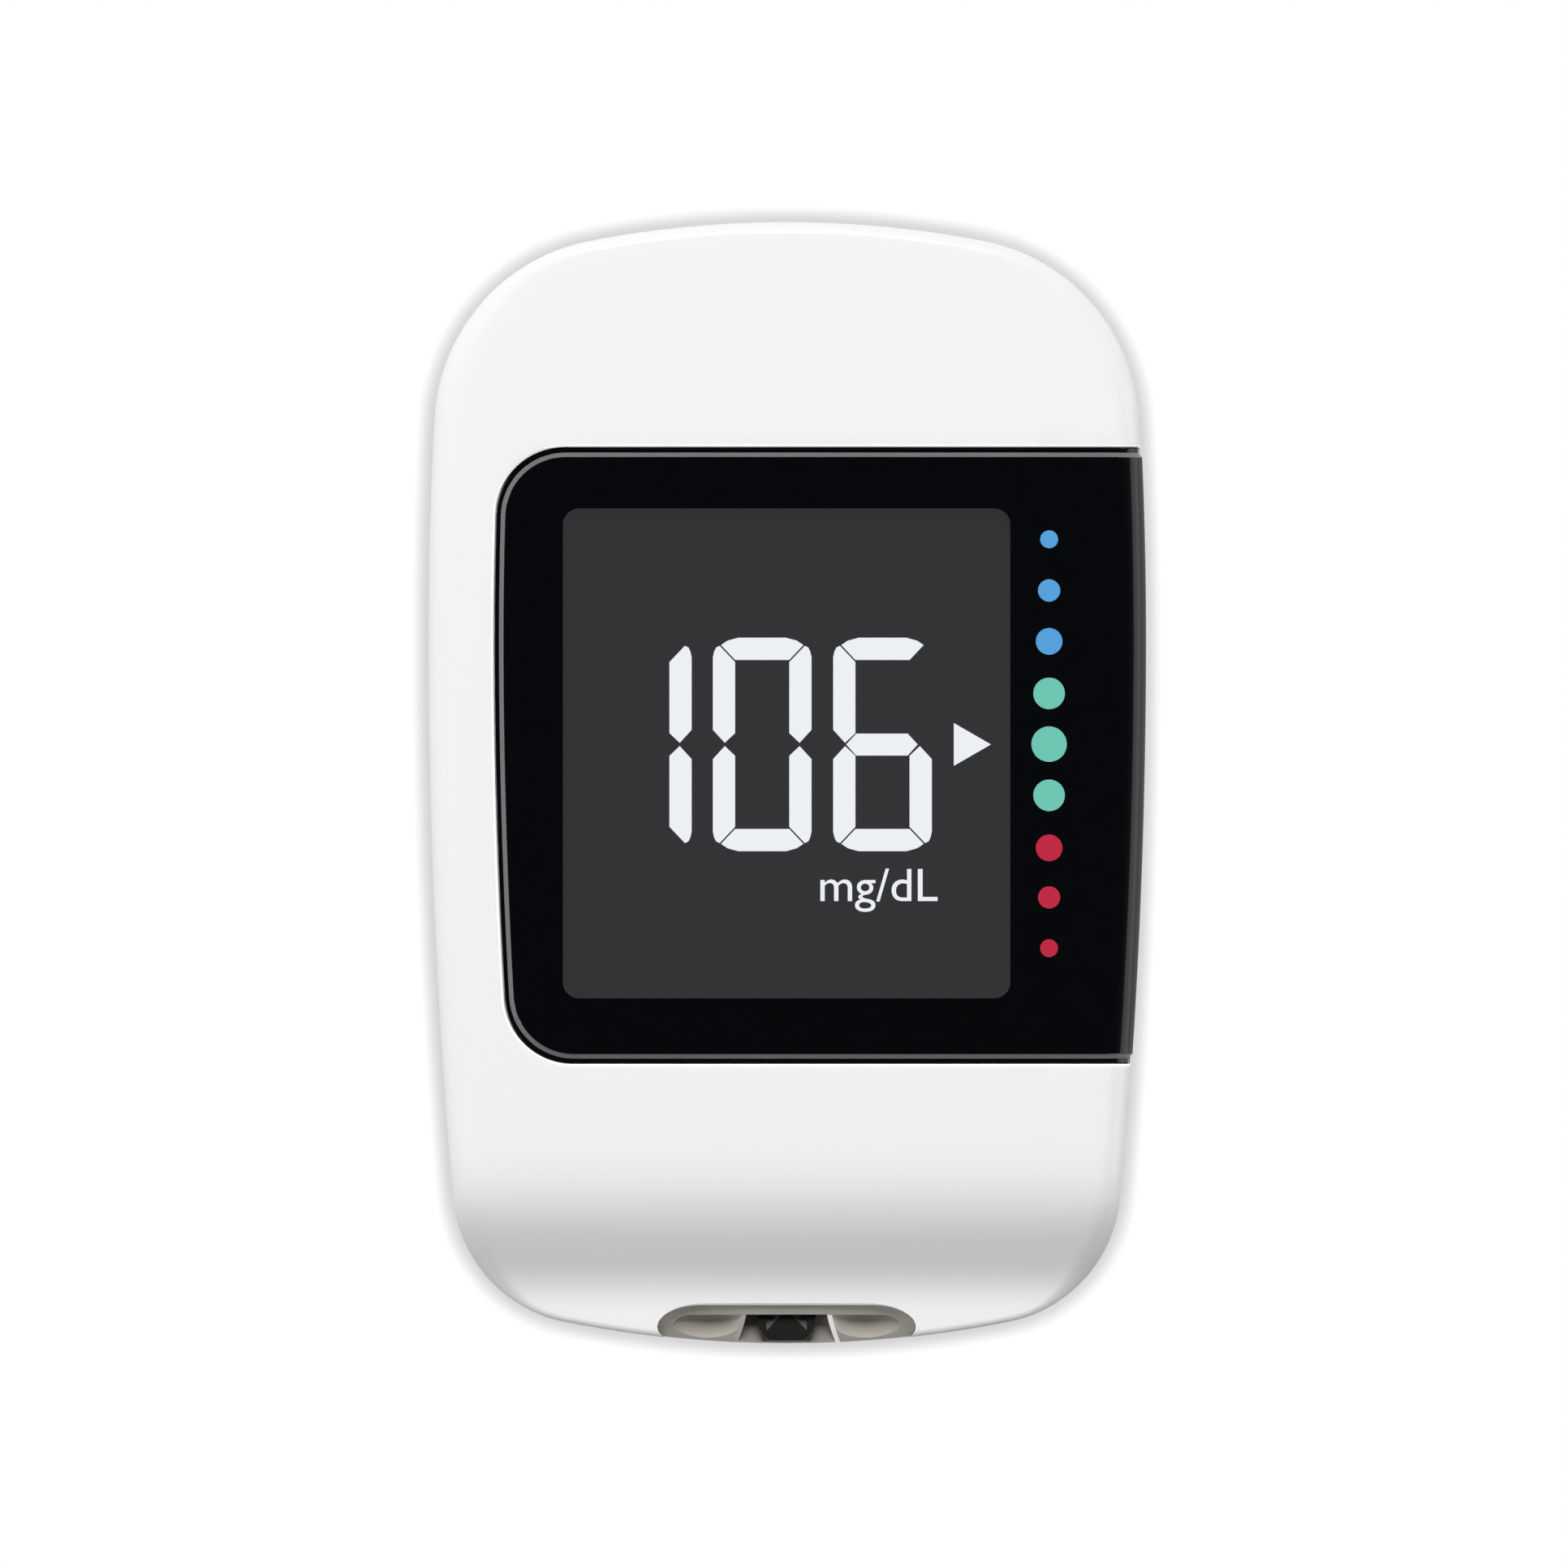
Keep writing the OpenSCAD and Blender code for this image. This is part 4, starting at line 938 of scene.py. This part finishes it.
def finish(name, colour, rough, vary=0.03, grain=0.2, bump=0.02, metal=0.0, rough_vary=0.06,
           specular=0.5):
    """A material whose colour and gloss vary with noise of this grain, in millimetres."""
    mat, tree = new_material(name)
    shader = tree.nodes["Principled BSDF"]
    shader.inputs["Metallic"].default_value = metal
    shader.inputs["Specular IOR Level"].default_value = specular
    place = add_node(tree, "TexCoord")
    noise = add_node(tree, "TexNoise", {"Scale": 1/(grain*MM), "Detail": NOISE_DETAIL})
    tint = add_node(tree, "Mix", {MIX_A: (*[c*(1 - vary) for c in colour], 1),
                                  MIX_B: (*[min(c*(1 + vary), 1) for c in colour], 1)},
                    data_type="RGBA")
    gloss = add_node(tree, "MapRange", {"To Min": max(rough - rough_vary, LEAST_ROUGH),
                                        "To Max": rough + rough_vary})
    link(tree, (place.outputs["Object"], noise.inputs["Vector"]),
         (noise.outputs["Fac"], tint.inputs[0]),
         (tint.outputs[MIX_OUT], shader.inputs["Base Color"]),
         (noise.outputs["Fac"], gloss.inputs["Value"]),
         (gloss.outputs["Result"], shader.inputs["Roughness"]))
    if bump:
        relief = add_node(tree, "Bump", {"Strength": bump, "Distance": BUMP_DEPTH*MM})
        link(tree, (noise.outputs["Fac"], relief.inputs["Height"]),
             (relief.outputs["Normal"], shader.inputs["Normal"]))
    return mat


def linear(*rgb):
    """Screen colour, 0 to 255, as the shader's linear values."""
    return tuple((c/255/12.92) if c <= 10 else ((c/255 + 0.055)/1.055)**2.4 for c in rgb)


# %% Giving a finish to a piece, or to some of its faces
def wear(obj, material):
    obj.data.materials.clear()
    obj.data.materials.append(material)


def wear_where(obj, material, test):
    """Gives a second finish to the faces whose test(centre, normal) holds, in millimetres."""
    obj.data.materials.append(material)
    count = 0
    for face in obj.data.polygons:
        if test(face.center/MM, face.normal):
            face.material_index = 1
            count += 1
    print(material.name, "on", count, "faces of", obj.name)


# %% [markdown]
# ## White shell, black panel and printed ink
# The shells are white ABS with a soft gloss and hardly any grain. The panel is polished black,
# so it has no relief at all and only a faint change of gloss. The ink of the dots is satin.

# %% Shells, panel, button and dots
white = finish("white_abs", (0.86, 0.865, 0.86), 0.2, vary=0.006, grain=0.25, bump=0.01,
               rough_vary=0.03)
for piece in (housing, rear, door):
    wear(piece, white)
wear(panel, finish("gloss_black", (0.0024, 0.0027, 0.0034), 0.06, vary=0.1, grain=1.5, bump=0,
                   rough_vary=0.015))
wear(button, finish("button_black", (0.006, 0.006, 0.007), 0.25, vary=0.1, grain=0.1))
INKS = {"high": (86, 158, 216), "good": (109, 196, 177), "low": (188, 43, 68)}
for key, colour in INKS.items():
    wear(dots[key], finish("ink_" + key, linear(*colour), 0.3, vary=0.02, grain=0.3, bump=0))
print("inks", sorted(INKS))

# %% [markdown]
# ## The port's finishes
# The bezel is warm grey with a fine matt grain. The floor of its channel gets a darker colour,
# painted shade, because it lies deep in the port. The tongue is black, and its facets get a
# lighter grey, a painted highlight where they face the light. One piece can wear two finishes:
# the second goes to the faces that a test picks by their place and normal.

# %% Bezel and tongue
FACET_TILT, FACET_BELOW, FLOOR_TILT = 0.3, 0.05, 0.8
wear(bezel, finish("warm_grey", linear(213, 207, 197), 0.4, vary=0.02, grain=0.15, bump=0.02))
# Painted shade: the channel's floor gets a darker colour, deep in the port.
wear_where(bezel, finish("warm_painted_shade", linear(150, 145, 140), 0.45, vary=0.02),
           lambda c, n: abs(c.x) < CHANNEL_MOUTH and c.z < PORT_Z and n.z > FLOOR_TILT)
wear(tongue, finish("tongue_black", (0.017, 0.017, 0.016), 0.25, vary=0.1))
# Painted highlight: the facets get a lighter grey where they face the light.
wear_where(tongue, finish("tongue_facet_highlight", (0.12, 0.12, 0.12), 0.3, vary=0.1),
           lambda c, n: n.z > FACET_TILT and c.z < TONGUE_TOP - FACET_BELOW)

# %% [markdown]
# ## Edges that catch the light
# The ribs and the small round on the white lip are polished, and so narrow that they always
# mirror some lamp. Many more lamps would do that too, but they would also show in the panel.
# So these edges get a faint glow in their own colour, a painted highlight. The right rib is
# lighter and glows more than the left one, as painted light falling from the left.

# %% Lit edges
LIP_BAND, LIP_TILT, LIP_STEEP, LIP_SIDE_X, LIP_WRAP_X = 0.35, 0.15, 0.97, -14, 21


def add_glow(mat, colour, strength):
    shader = mat.node_tree.nodes["Principled BSDF"]
    shader.inputs["Emission Color"].default_value = (*colour, 1)
    shader.inputs["Emission Strength"].default_value = strength
    return mat


def lit_edge(name, colour, glow):
    """A finish for a polished edge, with a faint glow that paints a highlight on it."""
    return add_glow(finish(name, colour, 0.2, vary=0.005, bump=0), colour, glow)


def on_lip(c, n):
    """Whether a face of the housing is part of the small round on the lip round the panel."""
    far = 0 < c.y - PANEL_FAR < LIP_BAND and -LIP_STEEP < n.y < -LIP_TILT
    near = 0 < PANEL_NEAR - c.y < LIP_BAND and LIP_TILT < n.y < LIP_STEEP
    side = (c.x < LIP_SIDE_X and PANEL_NEAR < c.y < PANEL_FAR and n.z > LIP_TILT
            and 0 < face_z(c.x, c.y) - c.z < LIP_R and n.x > LIP_TILT)
    return (far or near or side) and (c.x > LIP_WRAP_X or n.z > LIP_TILT)


# Painted highlight: the ribs glow, and the right one is lighter, as painted light from the left.
wear(ribs["left"], lit_edge("rib_warm", (0.62, 0.59, 0.53), 0.08))
wear(ribs["right"], lit_edge("rib_light", (0.9, 0.89, 0.86), 0.35))
# Painted highlight: the small round on the lip glows.
wear_where(housing, lit_edge("white_lip_painted_glint", (0.95, 0.95, 0.95), 0.21), on_lip)

# %% [markdown]
# The chamfer's grey colour along the panel's groove is a painted highlight: an even grey line.

# %% Painted highlight on the chamfer
WRAP_X, CHAMFER_AT, CHAMFER_SPARE, DROP_SPARE = 22.2, GROOVE_W + CHAMFER_W/2, 0.02, 0.01
FACE_TILT, WALL_TILT = (0.3, 0.97), (0.5, 0.9)


def on_chamfer(c, n):
    """Whether a face of the panel is part of the chamfer beside its groove."""
    if c.x < WRAP_X:
        drop = face_z(c.x, c.y) + PROUD - c.z
        return (DROP_SPARE < drop < GROOVE_D - DROP_SPARE
                and FACE_TILT[0] < n.z < FACE_TILT[1])
    off = min(abs(PANEL_FAR - c.y - CHAMFER_AT), abs(c.y - PANEL_NEAR - CHAMFER_AT))
    return off < CHAMFER_W/2 + CHAMFER_SPARE and WALL_TILT[0] < abs(n.y) < WALL_TILT[1]


# Painted highlight: the chamfer gets a grey colour, as if it caught the light.
wear_where(panel, finish("chamfer_painted_sheen", (0.155, 0.155, 0.16), 0.35, vary=0.05, bump=0), on_chamfer)

# %% [markdown]
# ## The display and its window
# A liquid crystal display gives off its own even light, whatever lights the room. So its film
# and its digits glow and mirror nothing, and the window over them does the mirroring. The
# window could be real glass, but bent light would need many more samples. It lets light
# straight through, and mirrors more the flatter it is looked at, as acrylic does.

# %% Display film and what it shows
def glowing(name, colour, base):
    """A finish that shows its own light and mirrors nothing."""
    mat = finish(name, base, 0.4, vary=0.05, grain=0.5, bump=0, specular=0)
    return add_glow(mat, colour, 1.0)


film = glowing("display_film", linear(52, 52, 54), (0.004, 0.004, 0.004))
wear(nodes["lcd_front_polariser"], film)
lit = glowing("display_lit", linear(246, 250, 254), (0.01, 0.01, 0.01))
for piece in (digits, unit):
    wear(piece, lit)

# %% Clear window
ACRYLIC_IOR = 1.49


def clear(name, tint, rough=0.02):
    """A clear finish that mirrors on its outer faces only."""
    mat, tree = new_material(name, plain=True)
    through = add_node(tree, "BsdfTransparent", {"Color": (*tint, 1)})
    shine = add_node(tree, "BsdfGlossy", {"Roughness": rough})
    edge = add_node(tree, "Fresnel", {"IOR": ACRYLIC_IOR})
    sides = add_node(tree, "NewGeometry")
    outer = add_node(tree, "Math", operation="SUBTRACT", use_clamp=True)
    both = add_node(tree, "MixShader")
    link(tree, (edge.outputs["Fac"], outer.inputs[0]),
         (sides.outputs["Backfacing"], outer.inputs[1]),
         (outer.outputs[0], both.inputs["Fac"]),
         (through.outputs[0], both.inputs[1]), (shine.outputs[0], both.inputs[2]),
         (both.outputs[0], tree.nodes["Material Output"].inputs["Surface"]))
    return mat


wear(window, clear("clear_acrylic", (0.97, 0.97, 0.97)))

# %% [markdown]
# ## The pieces inside
# Most of these show only with the shells off: a green board, black packages, plated metal,
# clear and white optical parts. Each keeps the model's solid and gets the finish that its
# material has, such as a fine even grain on metal and a matt one on moulded parts. The
# frame names the slot of each, so one table gives all the finishes.

# %% Finishes by slot
METAL = dict(metal=1.0, vary=0.04, grain=0.12, bump=0.02, rough_vary=0.05)
MATT = dict(vary=0.06, grain=0.12, bump=0.03)
BY_SLOT = {
    "black_tape": ((0.02, 0.02, 0.02), 0.8, MATT),
    "connector_black": ((0.02, 0.02, 0.022), 0.5, MATT),
    "gold_plate": ((0.75, 0.55, 0.22), 0.22, METAL),
    "white_moulding": ((0.8, 0.8, 0.78), 0.5, MATT),
    "white_film": ((0.92, 0.92, 0.91), 0.35, dict(vary=0.01, grain=0.5, bump=0)),
    "led_resin": ((0.85, 0.78, 0.4), 0.3, dict(vary=0.03, grain=0.1, bump=0)),
    "zebra_rubber": ((0.09, 0.09, 0.1), 0.7, MATT),
    "board_green": ((0.015, 0.11, 0.05), 0.35, dict(vary=0.12, grain=0.4, bump=0.04)),
    "chip_black": ((0.02, 0.02, 0.021), 0.55, MATT),
    "chip_ceramic": ((0.28, 0.2, 0.13), 0.6, MATT),
    "tinned_steel": ((0.62, 0.63, 0.64), 0.28, METAL),
    "switch_black": ((0.03, 0.03, 0.032), 0.5, MATT),
    "switch_white": ((0.7, 0.7, 0.66), 0.45, MATT),
    "cell_steel": ((0.66, 0.67, 0.68), 0.25, METAL),
    "dark_steel": ((0.22, 0.22, 0.23), 0.35, METAL),
    "slider_grey": ((0.035, 0.036, 0.04), 0.42, MATT),
    "spring_steel": ((0.55, 0.55, 0.56), 0.25, METAL),
}
finishes = {slot: finish(slot, colour, rough, **more)
            for slot, (colour, rough, more) in BY_SLOT.items()}
finishes["clear_guide"] = clear("clear_guide", (0.86, 0.9, 0.91), 0.05)
finishes["display_glass"] = clear("display_glass", (0.5, 0.5, 0.52))
finishes["display_film"] = film
print("finishes", len(finishes))

# %% Finishes of the pieces inside
replaced = {"front_housing", "rear_housing", "battery_door", "display_surround",
            "display_window", "port_bezel", "strip_guide", "side_button", "ejector_spring"}
wear(spring, finishes["spring_steel"])
for name, obj in nodes.items():
    if name not in replaced:
        slot = obj.data.materials[0].name.split(".")[0]
        wear(obj, finishes[slot])
        print(name, slot)

# %% [markdown]
# ## The sky
# In a studio a glossy product stands in a white tent that is open on top. The sky does the
# same: it is bright low down and dark overhead, so that the flat black panel stays black and
# its edges catch light. It is dimmer towards the two ends than towards the sides, but
# not below the horizon. To the camera alone it is plain white.

# %% World
SKY = [(-1, 0.7), (-0.6, 0.7), (-0.3, 0.3), (-0.05, 0.3), (0.1, 0.8), (0.3, 0.55),
       (0.5, 0.25), (0.8, 0.06), (1, 0.015)]  # height, from down to up, and brightness
END_SKY, BELOW = 0.1, -0.2


def set_ramp(node, stops):
    """Gives a colour ramp these stops, each a position and a grey level."""
    tones = node.color_ramp.elements
    while len(tones) < len(stops):
        tones.new(0.5)
    for tone, (position, level) in zip(tones, stops):
        tone.position, tone.color = position, (level, level, level, 1)


world = bpy.data.worlds.new("sky")
bpy.context.scene.world = world
world.use_nodes = True
tree = world.node_tree
back = tree.nodes["Background"]
coords = add_node(tree, "TexCoord")
split = add_node(tree, "SeparateXYZ")
height = add_node(tree, "MapRange", {"From Min": -1})
ramp = add_node(tree, "ValToRGB")
set_ramp(ramp, [((z + 1)/2, level) for z, level in SKY])
sideways = add_node(tree, "Math", operation="MULTIPLY")
share = add_node(tree, "MapRange", {"To Min": END_SKY})
under = add_node(tree, "MapRange", {"From Min": BELOW, "From Max": 0, "To Min": 1,
                                    "To Max": END_SKY})
most = add_node(tree, "Math", operation="MAXIMUM")
rays = add_node(tree, "LightPath")
plain = add_node(tree, "Background", {"Color": (1, 1, 1, 1)})
seen = add_node(tree, "MixShader")
link(tree, (coords.outputs["Generated"], split.inputs[0]),
     (split.outputs["Z"], height.inputs["Value"]),
     (height.outputs["Result"], ramp.inputs["Fac"]),
     (ramp.outputs["Color"], back.inputs["Color"]),
     (split.outputs["X"], sideways.inputs[0]), (split.outputs["X"], sideways.inputs[1]),
     (sideways.outputs[0], share.inputs["Value"]),
     (split.outputs["Z"], under.inputs["Value"]),
     (share.outputs["Result"], most.inputs[0]), (under.outputs["Result"], most.inputs[1]),
     (most.outputs[0], back.inputs["Strength"]),
     (rays.outputs["Is Camera Ray"], seen.inputs["Fac"]),
     (back.outputs[0], seen.inputs[1]), (plain.outputs[0], seen.inputs[2]),
     (seen.outputs[0], tree.nodes["World Output"].inputs["Surface"]))
print("sky nodes", len(tree.nodes))

# %% [markdown]
# ## The lamps
# Three soft square lamps shape the body: the key from the far end lights the face and shades
# the chin, and weaker ones at the sides light the walls. Only the right one is mirrored in the
# meter, as a soft streak on the panel's rolled side.

# %% Lamps
def lamp(name, place, size, watts, glossy=False):
    """A square area lamp that points at the meter, and is mirrored in it or not."""
    bpy.ops.object.light_add(type="AREA", location=place)
    obj = bpy.context.object
    obj.name = name
    obj.data.size, obj.data.energy = size, watts
    obj.rotation_euler = (-Vector(place)).to_track_quat("-Z", "Y").to_euler()
    obj.visible_camera, obj.visible_glossy = False, glossy
    print("lamp", name, watts, "W")


lamp("key", (0, 1.3, 2.7), 1.0, 89)
lamp("left", (-2.8, 0, 1.0), 1.0, 20)
lamp("right", (2.85, 0, 0.9), 1.8, 9, glossy=True)

# %% [markdown]
# ## The floor
# The floor is white with a narrow soft shadow where the meter stands. A lit white floor would
# also throw light up at the walls and need more light than the meter does. So it gives off its
# own white, and ambient occlusion darkens it close to what stands on it. It can't be seen from
# below, so that the rear can be looked at.

# %% Floor
SHADOW_REACH, SHADOW_SAMPLES = 3.3, 16
SHADOW = [(0.2, 0.3), (0.81, 0.7), (0.985, 1.0)]  # open sky, and brightness
FLOOR_SIZE, FLOOR_DROP = 6, 0.05  # in metres, and in millimetres below the meter


def floor_finish():
    """White to the camera, darker only close to what stands on it."""
    mat, tree = new_material("floor", plain=True)
    near = add_node(tree, "AmbientOcclusion", {"Distance": SHADOW_REACH*MM},
                    samples=SHADOW_SAMPLES)
    curve = add_node(tree, "ValToRGB")
    set_ramp(curve, SHADOW)
    glow = add_node(tree, "Emission")
    below = add_node(tree, "NewGeometry")
    through = add_node(tree, "BsdfTransparent")
    both = add_node(tree, "MixShader")
    link(tree, (near.outputs["AO"], curve.inputs["Fac"]),
         (curve.outputs["Color"], glow.inputs["Color"]),
         (below.outputs["Backfacing"], both.inputs["Fac"]),
         (glow.outputs[0], both.inputs[1]), (through.outputs[0], both.inputs[2]),
         (both.outputs[0], tree.nodes["Material Output"].inputs["Surface"]))
    return mat


deselect()
bpy.ops.mesh.primitive_plane_add(size=FLOOR_SIZE, location=(0, 0, -FLOOR_DROP*MM))
floor = settle("floor")
floor.visible_diffuse = False
floor.visible_shadow = False
wear(floor, floor_finish())
print("floor", FLOOR_SIZE, "m square")

# %% [markdown]
# ## The camera
# It looks straight down from far above with a long lens, so the sides hardly show. Its view is
# as wide as it should be at the height of the meter's face.

# %% Camera
CAMERA_AT, VIEW_W, VIEW_Z, SENSOR = (-0.178, -0.044, 3000.0), 107.4, 10, 36
bpy.ops.object.camera_add(location=Vector(CAMERA_AT)*MM, rotation=(0, 0, 0))
camera = bpy.context.object
camera.data.sensor_width = SENSOR
camera.data.lens = SENSOR*(CAMERA_AT[2] - VIEW_Z)/VIEW_W
camera.data.clip_start, camera.data.clip_end = 0.01, 20
bpy.context.scene.camera = camera
bpy.context.scene.view_settings.view_transform = "Standard"
print("lens", round(camera.data.lens), "mm")
